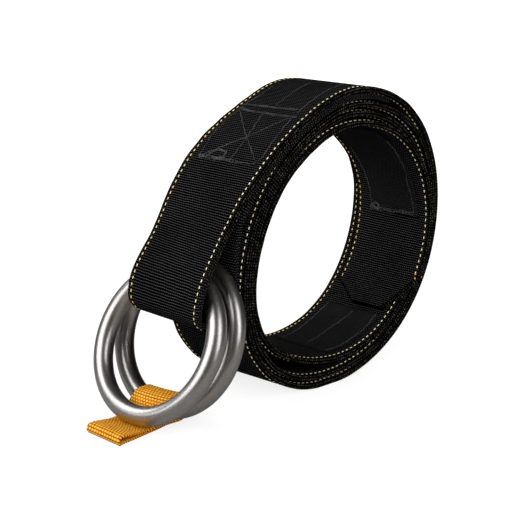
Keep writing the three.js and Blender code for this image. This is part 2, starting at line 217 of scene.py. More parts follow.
# The tab's mesh and the yarns raised on its faces
TAB_ROWS = 480
TAB_SLICES = 9
TAB_FACE_COLUMNS = 80
TAB_WEAVE_DEPTH = 0.2
TAB_ROW_PITCH = 1.15
TAB_YARN_PITCH = 1.55
TAB_ROW_POWER = 0.3
TAB_YARN_POWER = 0.22
TAB_RIM_YARN = {"middle": 0.45, "swing": 0.35}

# Camera, for the photograph's square frame. The range that it sees is in metres.
IMAGE_SIDE = 525
FOCAL_PIXELS = 1452.0
SENSOR_WIDTH = 36.0
CAMERA_AZIMUTH = -43.5
CAMERA_ELEVATION = 15.0
CAMERA_DISTANCE = 600.0
CAMERA_TARGET = (-16.4, 0.0, 51.65)
CLIP_RANGE = (0.01, 50.0)

# Fine rows of the dressed strap for each row of the tables, points of a patch across, steps of a ring
DRESSED_STEPS = 4
PATCH_FACE_COLUMNS = 5
RING_STEPS = 200
WIRE_SIDES = 48

# Edge stitching: distance in from the strap's edge, height over its middle, and pitch
STITCH_INSET = 2.4
STITCH_LIFT = 1.175
STITCH_PITCH = 2.6

# Sizes of one stitch in each kind of sewing
EDGE_STITCH = {"length": 1.4, "width": 0.56, "height": 0.38}
THREAD_STITCH = {"length": 2.2, "width": 0.36, "height": 0.26}
BAR_STITCH = {"length": 2.1, "width": 0.46, "height": 0.40}
TIP_STITCH = {"length": 4.2, "width": 1.7, "height": 1.3}

# A stitch's shape: where its three sections lie along it, how full they are and how many sides they have
OVAL_STATIONS = (-0.32, 0.0, 0.32)
OVAL_FULLNESS = 1.12
OVAL_SIDES = 6

# Seams, bars and knots of the box and the patches: the stitch and its pitch, how far a thread wavers, how
# the waver's phase moves on from one thread to the next, how many threads lie over each other, and their rise
SEAM = {"stitch": THREAD_STITCH, "pitch": 2.0, "waver": 0.16, "phase": 1.7}
BAR = {"stitch": BAR_STITCH, "pitch": 2.3, "waver": 0.5, "phase": 2.1, "strands": 3, "rise": 0.08}
KNOT = {"stitch": BAR_STITCH, "pitch": 1.6, "waver": 0.25, "phase": 2.4, "strands": 2, "rise": 0.15}
WAVER_RATES = (1.3, 2.9)

# Points of a seam for each of its marks, and how high seams lie over the strap's face and a patch's
SEAM_STEPS = 16
BOX_LIFT = 0.05
PATCH_LIFT = 0.02

# Thick stitches over the near edge of the strap's tip: angle, Y, lean along Y
TIP_KNOT = (
    (-29.4, -27.0, -0.5),
    (-31.2, -26.4, 0.4),
)

# Rows of the strap, counted from the tip, where the stitching of each edge starts and where both end, as the
# strap comes back from the rings
TIP_NEAR_ROW = 5
TIP_FAR_ROW = 3
RETURN_ROW = 286

# From this row on, past the coil, the painted highlights of the picots on the rims fade over ten rows until
# they are only faint: painted shade on the loop and on the end that comes back
FOLD_ROW = 262
FOLD_FADE_ROWS = 10
PICOTS_LEFT_IN_SHADE = 0.12

# Rim of one ply of the strap: distance in from the edge, and height as a share of the half thickness
PLY_RIM = (
    (0.16, 0.22),
    (0.0, 0.50),
    (0.14, 0.78),
    (0.6, 0.95),
    (1.5, 1.0),
    (2.4, 0.94),
    (3.4, 1.0),
)

# Depth of the groove between the plies, places of the columns across a face as shares of the width, and how
# far in from the edge the rim reaches
PLY_GROOVE_INSET = 0.55
FACE_SHARES = (0.25, 0.5, 0.75)
RIM_INSET = 0.7

# Rim of a patch or the tab, in the same form, from past its outermost point
THIN_RIM = ((0.10, 0.55), (0.45, 0.92), (1.1, 1.0))

# Seams of the crossed box where the strap's end is sewn down, on the fourth turn's outer face: angle, Y
BOX_SEAMS = (
    ((102.5, 17.2), (107.4, 16.6), (118.9, 16.5), (130.7, 15.6), (141.6, 13.6)),
    ((107.0, -16.0), (115.2, -16.6), (123.9, -17.5), (135.3, -18.9), (140.2, -18.2)),
    ((107.4, 15.8), (115.6, 7.6), (124.1, -1.0), (137.6, -15.8), (140.4, -18.0)),
    ((107.4, -17.4), (109.4, -14.0), (117.5, -8.2), (126.2, -2.6), (138.2, 9.5), (141.8, 13.2)),
    ((107.6, 1.6), (111.0, 0.5), (120.1, -1.7), (127.2, -3.4), (140.9, -3.9)),
    ((141.2, -8.0), (141.0, -12.8), (140.2, -18.1)),
    ((104.4, -15.5), (87.7, -14.6), (72.7, -12.5)),
    ((100.5, -0.2), (83.8, 1.0), (76.4, 2.2)),
    ((101.2, 16.6), (92.7, 15.2), (84.1, 15.6)),
)
BOX_BARS = (
    ((142.4, 14.0), (141.6, 9.7), (141.4, 5.2), (141.2, -2.3), (141.5, -8.4)),
    ((105.4, 17.2), (107.2, 10.3), (107.5, 0.5), (107.7, -9.0), (107.3, -18.0)),
    ((102.5, 17.2), (102.2, 9.7), (102.4, -1.0), (101.8, -13.0)),
)
BOX_KNOT = (
    (142.0, 9.4), (138.2, 8.2), (136.1, 4.8), (137.4, 0.6), (140.4, 0.2), (142.4, 3.4), (140.6, 6.4)
)

# Seams of the two patches, on the first turn's inner face: angle, Y
PATCH_SEAMS = (
    (
        (37.6, -16.9), (30.8, -17.3), (24.5, -17.3), (18.1, -17.8), (10.4, -17.0), (6.3, -18.1), (-3.4, -19.9)
    ),
    ((27.4, 9.7), (20.5, 9.7), (14.8, 9.0), (7.8, 7.8), (2.8, 6.9), (-3.6, 6.4)),
    ((307.6, -2.5), (301.3, -0.5), (294.7, 0.6), (280.3, -1.3)),
    ((309.0, 14.1), (303.0, 14.9), (295.4, 14.7), (277.2, 11.5)),
    ((309.0, -15.3), (302.6, -15.5), (294.3, -15.3), (285.4, -15.6), (276.0, -15.5)),
)
PATCH_BARS = (
    ((-4.6, 6.9), (-4.7, 3.3), (-4.2, -2.3), (-4.5, -6.4), (-3.7, -11.7), (-3.4, -19.4)),
)
PATCH_KNOT = (
    (-4.6, 6.8), (-2.2, 4.4), (-2.8, 1.6), (-4.8, 1.8), (-4.6, 4.8), (-3.2, 6.0), (-4.8, 3.0)
)

# Kinds of sockets of the node groups
FLOAT = "NodeSocketFloat"
VECTOR = "NodeSocketVector"

# Ribbed weave: pitch of the ribs and of the yarns in them, and how deep the yarns cut into a rib. Ribs drift
# along the strap by a slow noise.
STRAP_WEAVE = {"Rib_Pitch": 1.05, "Yarn_Pitch": 1.15, "Yarn_Depth": 0.25, "Slant": 0.0}
PATCH_WEAVE = {"Rib_Pitch": 0.8, "Yarn_Pitch": 0.8, "Yarn_Depth": 0.7}
RIB_DRIFT = {"scale": 0.22, "size": 0.5}
RIB_POWER = 0.7

# Picots on the rims: pitch, the row's distance from the groove and its width. They slant, the rows of the two
# plies are shifted against each other, the spacing drifts by a noise, and their painted highlights drop to
# half in patches of another noise.
PICOTS = {"Pitch": 1.2, "Row_Place": 0.85, "Row_Width": 0.55}
PICOT_SLANT = 0.35
PICOT_PLY_SHIFT = 0.25
PICOT_DRIFT = {"scale": 0.9, "size": 1.2}
PICOT_PATCHES = {"scale": 0.5, "patchy": 0.42, "whole": 0.58, "left": 0.5}
PICOT_THREAD_HEIGHT = 0.3

# Scales of the cloths' clouds and fibres, for a noise over metres
STRAP_FIBRE = {"Cloud_Scale": 60.0, "Fibre_Scale": 1400.0}
PATCH_FIBRE = {"Cloud_Scale": 50.0, "Fibre_Scale": 1400.0}
THREAD_FIBRE = {"Cloud_Scale": 160.0, "Fibre_Scale": 2600.0}
TAB_FIBRE = {"Cloud_Scale": 90.0, "Fibre_Scale": 1800.0}

# Powers that keep the light tones to the tops of the yarns: painted highlights on the tops, with painted
# shade between them
STRAP_HIGHLIGHT_POWER = 8.0
PICOT_HIGHLIGHT_POWER = 2.6
PATCH_HIGHLIGHT_POWER = 2.2

# Depth of the relief on each cloth, and how much of it is fuzz
STRAP_RELIEF = {"depth": 0.28, "fuzz": 0.15}
PATCH_RELIEF = {"depth": 0.18, "fuzz": 0.2}
THREAD_RELIEF = 0.1
TAB_RELIEF = 0.15

# The tones at which the darker and the lighter colour are reached
THREAD_TONES = (0.42, 0.58)
# The tab's tones: where the painted shade between its yarns gives way to orange, and where the painted
# highlights on their tops come in
TAB_GAP_SHADE_TONES = (0.19, 0.78)
TAB_HIGHLIGHT_TONES = (0.80, 0.98)
SPECK_TONES = (0.35, 0.65)

# How much the fibres' tone counts beside the height of the tab's yarns
TAB_FIBRE_SHARE = 0.5

# Steel: its roughness, what the grain and the clouds add to it, and the scales of the noises
STEEL_ROUGHNESS = 0.28
GRAIN_ROUGHNESS = 0.05
CLOUD_ROUGHNESS = 0.05
GRAIN_STRETCH = (0.10, 3.0, 1.0)
STEEL_CLOUD_SCALE = 30.0
SPECK_SCALE = 1500.0

# Colours
# Black webbing with painted shade between its yarns, for the strap, its picots and the patches; painted
# highlights on the strap's rib tops
STRAP_BLACK_AND_GROOVE_SHADE = (0.0006, 0.0006, 0.0007, 1.0)
STRAP_RIB_HIGHLIGHT = (0.215, 0.215, 0.220, 1.0)
# Painted highlights on the picots along the strap's rims
PICOT_HIGHLIGHT = (0.25, 0.24, 0.19, 1.0)
# Painted highlights on the patches' yarn tops
PATCH_YARN_HIGHLIGHT = (0.095, 0.097, 0.102, 1.0)
STITCH_PALE = (1.0, 0.99, 0.66, 1.0)
STITCH_YELLOW = (1.0, 0.84, 0.30, 1.0)
STITCH_AMBER = (1.0, 0.62, 0.14, 1.0)
BOX_THREAD = (0.078, 0.078, 0.083, 1.0)
BOX_THREAD_DARK = (0.018, 0.018, 0.020, 1.0)
PATCH_THREAD = (0.075, 0.075, 0.080, 1.0)
PATCH_THREAD_DARK = (0.022, 0.022, 0.025, 1.0)
# Tab: painted shade between its yarns, its own orange, and painted highlights on the yarn tops
TAB_GAP_SHADE = (0.15, 0.028, 0.0006, 1.0)
TAB_ORANGE = (1.0, 0.40, 0.014, 1.0)
TAB_YARN_HIGHLIGHT = (1.0, 0.62, 0.11, 1.0)
KNOT_ORANGE = (0.72, 0.33, 0.05, 1.0)
STEEL = (0.58, 0.565, 0.55, 1.0)
STEEL_SPECK = (0.48, 0.465, 0.45, 1.0)
WHITE = (1.0, 1.0, 1.0, 1.0)
FLOOR_GREY = (0.36, 0.36, 0.36, 1.0)
FLOOR_IN_STEEL = (0.31, 0.30, 0.29, 1.0)
ROOM_IN_STEEL = (0.045, 0.042, 0.038, 1.0)

# Soft lights, in metres and watts: angle to the right of the camera, angle above the floor, width and
# height, power, and whether the steel mirrors them
SOFT_LIGHTS = {
    "left_window": (-62.0, 32.0, (1.30, 1.15), 12.5, True),
    "rear_window": (-112.0, 40.0, (0.75, 0.75), 5.5, True),
    "right_window": (48.0, 32.0, (0.75, 1.20), 7.0, True),
    "front_fill": (0.0, 20.0, (1.0, 1.0), 16.0, False),
    "back_fill": (150.0, 30.0, (1.2, 1.2), 9.0, False),
}
LIGHT_DISTANCE = 1.5
LIGHT_AIM = (-0.03, 0.0, 0.05)

# Floor, in metres: its own glow rises with the distance from the belt
FLOOR_SIDE = 8.0
FLOOR_GLOW = {"near": 0.80, "far": 1.0, "near_radius": 0.16, "far_radius": 0.45}


def read_table(table, places):
    """Straight-line reading of a table's second column at places in its first column."""
    rows = np.array(table, float)
    return np.interp(places, rows[:, 0], rows[:, 1])


def unit(vectors):
    """Vectors scaled to a length of 1."""
    return vectors / np.linalg.norm(vectors, axis=-1, keepdims=True)


def square_to(vectors, along):
    """Unit vectors square to others: the direction of v - (v . a) a."""
    return unit(vectors - along * (vectors * along).sum(axis=-1, keepdims=True))


def unrolled_radii():
    """The turn table as one run of radii, from the tip to past where the strap leaves for the rings."""
    rows = []
    for lap in range(OUTER_LAP + 1):
        rows += [(row[0] + FULL_TURN * lap, row[1 + lap]) for row in TURN_RADII if row[1 + lap] is not None]
    return rows


UNROLLED_RADII = unrolled_radii()


def turn_radius(angles):
    """Radius at the near rim at angles counted from the tip: a quarter of the reading before, half of the
    one here and a quarter of the one after."""
    angles = np.asarray(angles, float)
    before = read_table(UNROLLED_RADII, angles - RADIUS_SMOOTHING)
    here = read_table(UNROLLED_RADII, angles)
    after = read_table(UNROLLED_RADII, angles + RADIUS_SMOOTHING)
    return (before + 2 * here + after) / 4


def strap_radius(angles, across):
    """Radius of the strap's middle at an angle and a Y: turn_radius + rise * (y / width + 1 / 2)."""
    start = FAR_RISES[0][0]
    rise = read_table(FAR_RISES, (np.asarray(angles, float) - start) % FULL_TURN + start)
    return turn_radius(angles) + rise * (across / STRAP_WIDTH + 0.5)


def radius_under(angles, across, depth):
    """Radius at a depth under the strap's middle, measured square to the strap:
    r - depth * hypot(1, dr / (r da))."""
    radii = strap_radius(angles, across)
    climb = strap_radius(angles + TURN_ANGLE_STEP, across) - strap_radius(angles - TURN_ANGLE_STEP, across)
    run = radii * np.radians(2 * TURN_ANGLE_STEP)
    return radii - depth * np.hypot(1, climb / run)


def about_axis(radii, angles, across):
    """Points (r cos a, y, axis height + r sin a), and never lower than the strap lies on the floor."""
    turned = np.radians(angles)
    heights = AXIS_HEIGHT + radii * np.sin(turned)
    columns = np.broadcast_arrays(radii * np.cos(turned), across, np.maximum(heights, STRAP_THICKNESS / 2))
    return np.stack(columns, axis=-1)


def angle_steps(start, end, size):
    """Angles from start to end in equal steps of about the given size."""
    return np.linspace(start, end, int(round(abs(end - start) / size)) + 1)


def coil_edges():
    """Near and far edge of the strap's middle surface along the coil, with the tip's two cut corners."""
    turns = angle_steps(TIP_NEAR_CUT["angle"], LEAVING_ANGLE, TURN_ANGLE_STEP)
    angles = np.concatenate([TIP_ROW_ANGLES, turns])
    lean_share = (angles - LEAN_START_ANGLE) / (LEAVING_ANGLE - LEAN_START_ANGLE)
    lean = LEAN_AT_LOOP * np.maximum(0, lean_share)
    middle = read_table(TURN_SLIDES, angles)
    near_cut = np.maximum(0, TIP_NEAR_CUT["angle"] - angles) * TIP_NEAR_CUT["slope"]
    far_cut = np.maximum(0, TIP_FAR_CUT["angle"] - angles) * TIP_FAR_CUT["slope"]
    near_y = middle - STRAP_WIDTH / 2 + near_cut
    far_y = middle + STRAP_WIDTH / 2 - far_cut
    near = about_axis(strap_radius(angles, near_y) + lean, angles, near_y)
    far = about_axis(strap_radius(angles, far_y) - lean, angles, far_y)
    return near, far


def return_edges():
    """Near and far edge of the end that comes back from the rings, one ply inside the fourth turn."""
    angles = angle_steps(RETURN_START_ANGLE, RETURN_END_ANGLE, TURN_ANGLE_STEP)
    middle = np.linspace(*RETURN_SLIDES, len(angles))
    near_y, far_y = middle - STRAP_WIDTH / 2, middle + STRAP_WIDTH / 2
    unrolled = angles + FULL_TURN * OUTER_LAP
    near = about_axis(strap_radius(unrolled, near_y) - PLY_PITCH, angles, near_y)
    far = about_axis(strap_radius(unrolled, far_y) - PLY_PITCH, angles, far_y)
    return near, far


def ring_axes(ring):
    """Unit vectors of a ring: up in its plane, across in its plane, and out of its face."""
    yaw, tilt = np.radians(ring["yaw"]), np.radians(ring["tilt"])
    out = np.array([-np.cos(yaw) * np.cos(tilt), -np.sin(yaw) * np.cos(tilt), np.sin(tilt)])
    across = unit(np.cross([0, 0, 1], out))
    return np.cross(out, across), across, out


def wire_distance(ring, points):
    """Distance from points to the middle of a ring's wire: off its plane, and in or out of its circle."""
    offset = points - np.array(ring["centre"])
    height = offset @ ring_axes(ring)[2]
    in_plane = np.sqrt(np.maximum(0, (offset**2).sum(-1) - height**2))
    return np.hypot(height, in_plane - RING_RADIUS)


def clear_reach(middles, side, lean):
    """How far the strap reaches to one side of its middle before it meets a ring, up to its half width."""
    half = STRAP_WIDTH / 2
    scan = np.arange(0, half, EDGE_SCAN_STEP)
    points = np.repeat(middles[:, None, :], len(scan), axis=1)
    points[..., 1] += side * scan
    points[..., 0] += lean[:, None] * scan / half
    limit = WIRE_RADIUS + STRAP_THICKNESS / 2 + EDGE_CLEARANCE
    clear = (wire_distance(FRONT_RING, points) >= limit) & (wire_distance(BACK_RING, points) >= limit)
    blocked = ~clear
    return np.where(blocked.any(axis=1), scan[blocked.argmax(axis=1)], half)


def softened(values):
    """Each value lowered to the smallest near it and then averaged over the same stretch."""
    spans = [slice(max(0, i - EDGE_SMOOTHING), i + EDGE_SMOOTHING + 1) for i in range(len(values))]
    lowest = np.array([values[span].min() for span in spans])
    return np.array([lowest[span].mean() for span in spans])


def smooth_curve(points, shares, closed=False):
    """Centripetal Catmull-Rom curve through points, read at shares from 0 to 1 of its spans."""
    points = np.asarray(points, float)
    count = len(points)
    spans = count if closed else count - 1
    place = np.asarray(shares, float) * spans
    first = np.minimum(np.floor(place).astype(int), spans - 1)
    weight = (place - first)[:, None]
    if closed:
        p0, p1, p2, p3 = (points[(first + step) % count] for step in (-1, 0, 1, 2))
    else:
        before = 2 * points[0] - points[1]
        after = 2 * points[-1] - points[-2]
        padded = np.vstack([before, points, after])
        p0, p1, p2, p3 = (padded[first + step] for step in (0, 1, 2, 3))
    d0, d1, d2 = (
        np.sqrt(np.linalg.norm(b - a, axis=1))[:, None] for a, b in ((p0, p1), (p1, p2), (p2, p3))
    )
    t1 = ((p1 - p0) / d0 - (p2 - p0) / (d0 + d1) + (p2 - p1) / d1) * d1
    t2 = ((p2 - p1) / d1 - (p3 - p1) / (d1 + d2) + (p3 - p2) / d2) * d1
    square = -3 * p1 + 3 * p2 - 2 * t1 - t2
    cube = 2 * p1 - 2 * p2 + t1 + t2
    return p1 + t1 * weight + square * weight**2 + cube * weight**3


def loop_edges(coil, returning):
    """Near and far edge of the loop that holds the rings, drawn in where the strap passes through them."""
    lead = (coil[0][-2:] + coil[1][-2:]) / 2
    tail = (returning[0][:2] + returning[1][:2]) / 2
    table = np.array(RING_LOOP)
    middles = np.vstack([lead, table[:, :3], tail])
    leans = np.concatenate([[0, LEAN_AT_LOOP], table[:, 3], [0, 0]])
    spans = len(leans) - 1
    stations = np.arange(1, LOOP_STATIONS) / LOOP_STATIONS
    shares = 1 / spans + stations * (1 - 2 / spans)
    points = smooth_curve(middles, shares)
    lean = np.interp(shares, np.arange(len(leans)) / spans, leans)
    near_reach = softened(clear_reach(points, -1, -lean))
    far_reach = softened(clear_reach(points, 1, lean))
    slope = lean / (STRAP_WIDTH / 2)
    still = np.zeros_like(lean)
    near = points - np.stack([slope * near_reach, near_reach, still], axis=1)
    far = points + np.stack([slope * far_reach, far_reach, still], axis=1)
    return near, far


def path_normals(points, closed=False):
    """Unit vectors square to a path in its XZ plane, on its right seen from -Y: (dz, 0, -dx). On the coil
    they point away from the axis."""
    if closed:
        ahead, behind = np.roll(points, -1, axis=0), np.roll(points, 1, axis=0)
    else:
        ahead = np.vstack([points[1:], points[-1:]])
        behind = np.vstack([points[:1], points[:-1]])
    step = ahead - behind
    return unit(np.stack([step[:, 2], np.zeros(len(step)), -step[:, 0]], axis=1))


def arc_lengths(points):
    """Distance along a path from its first point to each of its points."""
    steps = np.linalg.norm(np.diff(points, axis=0), axis=1)
    return np.concatenate([[0], np.cumsum(steps)])


def strap_middle():
    """Near and far edge of the whole strap's middle surface: a smooth curve through the rows of the coil, the
    loop and the end that comes back."""
    coil, returning = coil_edges(), return_edges()
    loop = loop_edges(coil, returning)
    edges = []
    for side in (0, 1):
        rough = np.vstack([coil[side], loop[side], returning[side]])
        shares = np.linspace(0, 1, (len(rough) - 1) * DRESSED_STEPS + 1)
        fine = smooth_curve(rough, shares)
        fine[:, 2] = np.maximum(fine[:, 2], STRAP_THICKNESS / 2)
        edges.append(fine)
    return edges


def strap_section():
    """The strap's cross-section, as columns of share of the width, distance off that place and height as a
    share of the half thickness, and a 1 for each point on the rims with a 0 for the others. It runs from the
    near groove over the outer face to the far groove and back over the inner face."""
    over = [(0, inset, height) for inset, height in PLY_RIM]
    over += [(share, 0, 1.0) for share in FACE_SHARES]
    over += [(1, -inset, height) for inset, height in reversed(PLY_RIM)]
    under = [(share, inset, -height) for share, inset, height in reversed(over)]
    section = [(0, PLY_GROOVE_INSET, 0.0), *over, (1, -PLY_GROOVE_INSET, 0.0), *under]
    columns = np.array(section, float)
    rim = (np.abs(columns[:, 1]) < RIM_INSET) & ((columns[:, 0] == 0) | (columns[:, 0] == 1))
    return columns, rim.astype(float)


def section_lengths(columns, width, half):
    """Distance round a cross-section to each column, and back to the first one."""
    across = columns[:, 0] * width + columns[:, 1]
    outline = np.stack([across, columns[:, 2] * half, np.zeros(len(across))], axis=1)
    return arc_lengths(np.vstack([outline, outline[:1]]))


def lengths_round_strap():
    """Distance round the strap's cross-section to each column, and back to the near groove."""
    return section_lengths(strap_section()[0], STRAP_WIDTH, STRAP_THICKNESS / 2)


def new_object(name, data):
    """An object of the scene that holds a mesh, a light or a camera."""
    made = bpy.data.objects.new(name, data)
    bpy.context.scene.collection.objects.link(made)
    return made


def signed_volume(points, faces):
    """Volume inside four-sided faces, the sum of a . (b x c + c x d) / 6, positive if they point outwards."""
    a, b, c, d = (points[faces[:, k]] for k in range(4))
    return (a * (np.cross(b, c) + np.cross(c, d))).sum() / 6


def band_mesh(name, grid, along, around, closed=False, marks=None):
    """A tube-like body on a grid of rows along and columns around, in millimetres. Faces join row i to i + 1
    and column j to j + 1, round to the first. An open band is closed by a face at each end. 'along' and
    'around' are distances for the UV map, and each of 'marks' is an array of values for the points."""
    rows, columns = grid.shape[:2]
    points = grid.reshape(-1, 3) * MM
    row_count = rows if closed else rows - 1
    i, j = (index.ravel() for index in np.meshgrid(np.arange(row_count), np.arange(columns), indexing="ij"))
    i2, j2 = (i + 1) % rows, (j + 1) % columns
    faces = np.stack([i * columns + j, i2 * columns + j, i2 * columns + j2, i * columns + j2], axis=1)
    u = np.stack([along[i], along[i + 1], along[i + 1], along[i]], axis=1)
    v = np.stack([around[j], around[j], around[j + 1], around[j + 1]], axis=1)
    inward = signed_volume(points, faces) < 0
    if inward:
        faces, u, v = faces[:, ::-1], u[:, ::-1], v[:, ::-1]
    polygons = faces.tolist()
    if not closed:
        first, last = list(range(columns)), list(range((rows - 1) * columns, rows * columns))
        polygons += [first[::-1], last] if inward else [first, last[::-1]]
    mesh = bpy.data.meshes.new(name)
    mesh.from_pydata(points.tolist(), [], polygons)
    smooth = np.ones(len(polygons), bool)
    smooth[len(faces):] = False
    mesh.polygons.foreach_set("use_smooth", smooth)
    uv = np.zeros((len(mesh.loops), 2))
    uv[: faces.size] = np.stack([u.ravel(), v.ravel()], axis=1)
    mesh.uv_layers.new(name="cloth").data.foreach_set("uv", uv.ravel())
    for mark, values in (marks or {}).items():
        attribute = mesh.attributes.new(mark, "FLOAT", "POINT")
        attribute.data.foreach_set("value", np.asarray(values, np.float32).ravel())
    return new_object(name, mesh)


def strap_grid(edges):
    """Points of the strap's surface: near edge + share * (far - near) + offset along that line + height
    along the normal. With them come the marks of the rims."""
    near, far = edges
    span = far - near
    width = np.linalg.norm(span, axis=1, keepdims=True)
    columns, rim = strap_section()
    place = columns[:, 0] + columns[:, 1] / width
    far_share = place[..., None]
    normal = unit(path_normals(near)[:, None] * (1 - far_share) + path_normals(far)[:, None] * far_share)
    height = columns[:, 2] * STRAP_THICKNESS / 2
    grid = near[:, None] + span[:, None] * far_share + normal * height[None, :, None]
    return grid, rim


def belt_strap(edges):
    """The whole strap as one body: a cross-section of two plies with rounded rims, carried along its
    middle. Also gives its length."""
    grid, rim = strap_grid(edges)
    along = arc_lengths((edges[0] + edges[1]) / 2)
    around = lengths_round_strap()
    rows = np.arange(len(grid)) / DRESSED_STEPS
    # Painted shade: past the coil the rim mark fades, and the picots' painted highlights with it
    shown = np.interp(rows, (FOLD_ROW, FOLD_ROW + FOLD_FADE_ROWS), (1.0, PICOTS_LEFT_IN_SHADE))
    marks = {"rim": shown[:, None] * rim}
    strap = band_mesh("belt_strap_webbing", grid, along, around, marks=marks)
    return strap, along[-1]


def oval_stitch():
    """Points and faces of one stitch, 1 long along X, 1 wide along Y and 1 high along Z: sections of radius
    sqrt(1/4 - (x / fullness)^2) at three stations, and a point at each end."""
    stations = np.array(OVAL_STATIONS)
    turns = np.arange(OVAL_SIDES) * 2 * np.pi / OVAL_SIDES
    radii = np.sqrt(0.25 - (stations / OVAL_FULLNESS) ** 2)
    x = np.repeat(stations, OVAL_SIDES)
    y = np.outer(radii, np.cos(turns)).ravel()
    z = np.outer(radii, np.sin(turns)).ravel()
    points = np.vstack([np.stack([x, y, z], axis=1), [[-0.5, 0, 0], [0.5, 0, 0]]])
    here = np.arange(OVAL_SIDES)
    after = (here + 1) % OVAL_SIDES
    quads = []
    for first in range(0, len(x) - OVAL_SIDES, OVAL_SIDES):
        second = first + OVAL_SIDES
        quads.append(np.stack([first + here, first + after, second + after, second + here], axis=1))
    start_point, end_point, last = len(x), len(x) + 1, len(x) - OVAL_SIDES
    start = np.stack([np.full(OVAL_SIDES, start_point), after, here], axis=1)
    end = np.stack([np.full(OVAL_SIDES, end_point), last + here, last + after], axis=1)
    return points, np.vstack(quads), np.vstack([start, end])


def stitch_bodies(centres, along, up, size):
    """Points and faces of many stitches, each with its length along one vector and its height along
    another."""
    template, quads, triangles = oval_stitch()
    sideways = np.cross(up, along)
    scaled = template * np.array([size["length"], size["width"], size["height"]])
    points = (
        centres[:, None]
        + along[:, None] * scaled[None, :, :1]
        + sideways[:, None] * scaled[None, :, 1:2]
        + up[:, None] * scaled[None, :, 2:]
    )
    shift = np.arange(len(centres))[:, None, None] * len(template)
    all_quads = (quads[None] + shift).reshape(-1, 4)
    all_triangles = (triangles[None] + shift).reshape(-1, 3)
    return points.reshape(-1, 3), all_quads, all_triangles


def stitches_on_line(line, up, size, pitch):
    """Stitches at equal distances along a line, each turned to the line and to the surface's normal
    there."""
    lengths = arc_lengths(line)
    places = np.arange(pitch / 2, lengths[-1], pitch)
    half = size["length"] / 2

    def at(values, where):
        return np.stack([np.interp(where, lengths, values[:, axis]) for axis in range(3)], axis=1)

    along = unit(at(line, places + half) - at(line, places - half))
    return stitch_bodies(at(line, places), along, square_to(at(up, places), along), size)


def stitching(name, parts):
    """One piece of many stitches."""
    points, faces, count = [], [], 0
    for part_points, quads, triangles in parts:
        points.append(part_points)
        faces += (quads + count).tolist() + (triangles + count).tolist()
        count += len(part_points)
    mesh = bpy.data.meshes.new(name)
    mesh.from_pydata((np.vstack(points) * MM).tolist(), [], faces)
    mesh.polygons.foreach_set("use_smooth", np.ones(len(faces), bool))
    return new_object(name, mesh)


def edge_stitching(name, edge, other_edge, start_row):
    """Lock stitches along one edge of the strap, on its outer and its inner face. They start past the tip's
    cut corner and stop where the strap comes back from the rings."""
    inward = unit(other_edge - edge)
    normals = path_normals(edge)
    sewn = slice(start_row * DRESSED_STEPS, RETURN_ROW * DRESSED_STEPS)
    parts = []
    for side in (1, -1):
        line = edge + inward * STITCH_INSET + normals * side * STITCH_LIFT
        parts.append(stitches_on_line(line[sewn], normals[sewn] * side, EDGE_STITCH, STITCH_PITCH))
    return stitching(name, parts)


def seam_on_turn(lap, marks, side, lift, style, phase):
    """Stitches along a seam on the strap, given as rows of angle and Y on one turn. 'side' is 1 on the outer
    face and -1 on the inner one, and 'lift' is the seam's height over the strap's middle. The seam wavers to
    both sides by waver * (sin(a d + phase) + sin(b d + 2 phase) / 2), where d is the distance along it and a
    and b are the two waver rates."""
    rows = np.array(marks, float)
    shares = np.linspace(0, len(rows) - 1, SEAM_STEPS * len(rows))
    angles = np.interp(shares, np.arange(len(rows)), rows[:, 0])
    across = np.interp(shares, np.arange(len(rows)), rows[:, 1])
    radii = radius_under(angles + FULL_TURN * lap, across, -side * lift)
    line = about_axis(radii, angles, across)
    turned = np.radians(angles)
    up = side * np.stack([np.cos(turned), np.zeros_like(turned), np.sin(turned)], axis=1)
    sideways = np.cross(up, unit(np.gradient(line, axis=0)))
    distance = arc_lengths(line)
    slow, quick = WAVER_RATES
    swing = np.sin(slow * distance + phase) + 0.5 * np.sin(quick * distance + 2 * phase)
    drift = style["waver"] * swing
    return stitches_on_line(line + sideways * drift[:, None], up, style["stitch"], style["pitch"])


def sewn_seams(lap, side, lift, seams, bars, knot):
    """A pattern of sewing on one turn: thin seams, bars of three wavering threads, and a knot of two."""
    parts = []
    for number, seam in enumerate(seams):
        parts.append(seam_on_turn(lap, seam, side, lift, SEAM, SEAM["phase"] * number))
    for number, bar in enumerate(bars):
        for strand in range(BAR["strands"]):
            height = lift + BAR["rise"] * strand
            parts.append(seam_on_turn(lap, bar, side, height, BAR, BAR["phase"] * strand + number))
    for strand in range(KNOT["strands"]):
        parts.append(seam_on_turn(lap, knot, side, lift + KNOT["rise"], KNOT, KNOT["phase"] * strand))
    return parts


def box_stitching():
    """Grey thread of the crossed box on the strap's outer face."""
    lift = STRAP_THICKNESS / 2 + BOX_LIFT
    return stitching("box_stitching", sewn_seams(OUTER_LAP, 1, lift, BOX_SEAMS, BOX_BARS, BOX_KNOT))


def patch_stitching():
    """Grey thread that holds the two patches inside the coil."""
    lift = STRAP_THICKNESS / 2 + GAP + PATCH_THICKNESS + PATCH_LIFT
    return stitching("patch_stitching", sewn_seams(INNER_LAP, -1, lift, PATCH_SEAMS, PATCH_BARS, PATCH_KNOT))


def thin_section(inner_columns):
    """Cross-section of a thin band with rounded rims, in the same form as the strap's."""
    over = [(0, inset, height) for inset, height in THIN_RIM]
    over += [(share, 0, 1.0) for share in np.linspace(0, 1, inner_columns + 2)[1:-1]]
    over += [(1, -inset, height) for inset, height in reversed(THIN_RIM)]
    under = [(share, inset, -height) for share, inset, height in reversed(over)]
    return np.array([(0, 0, 0), *over, (1, 0, 0), *under], float)


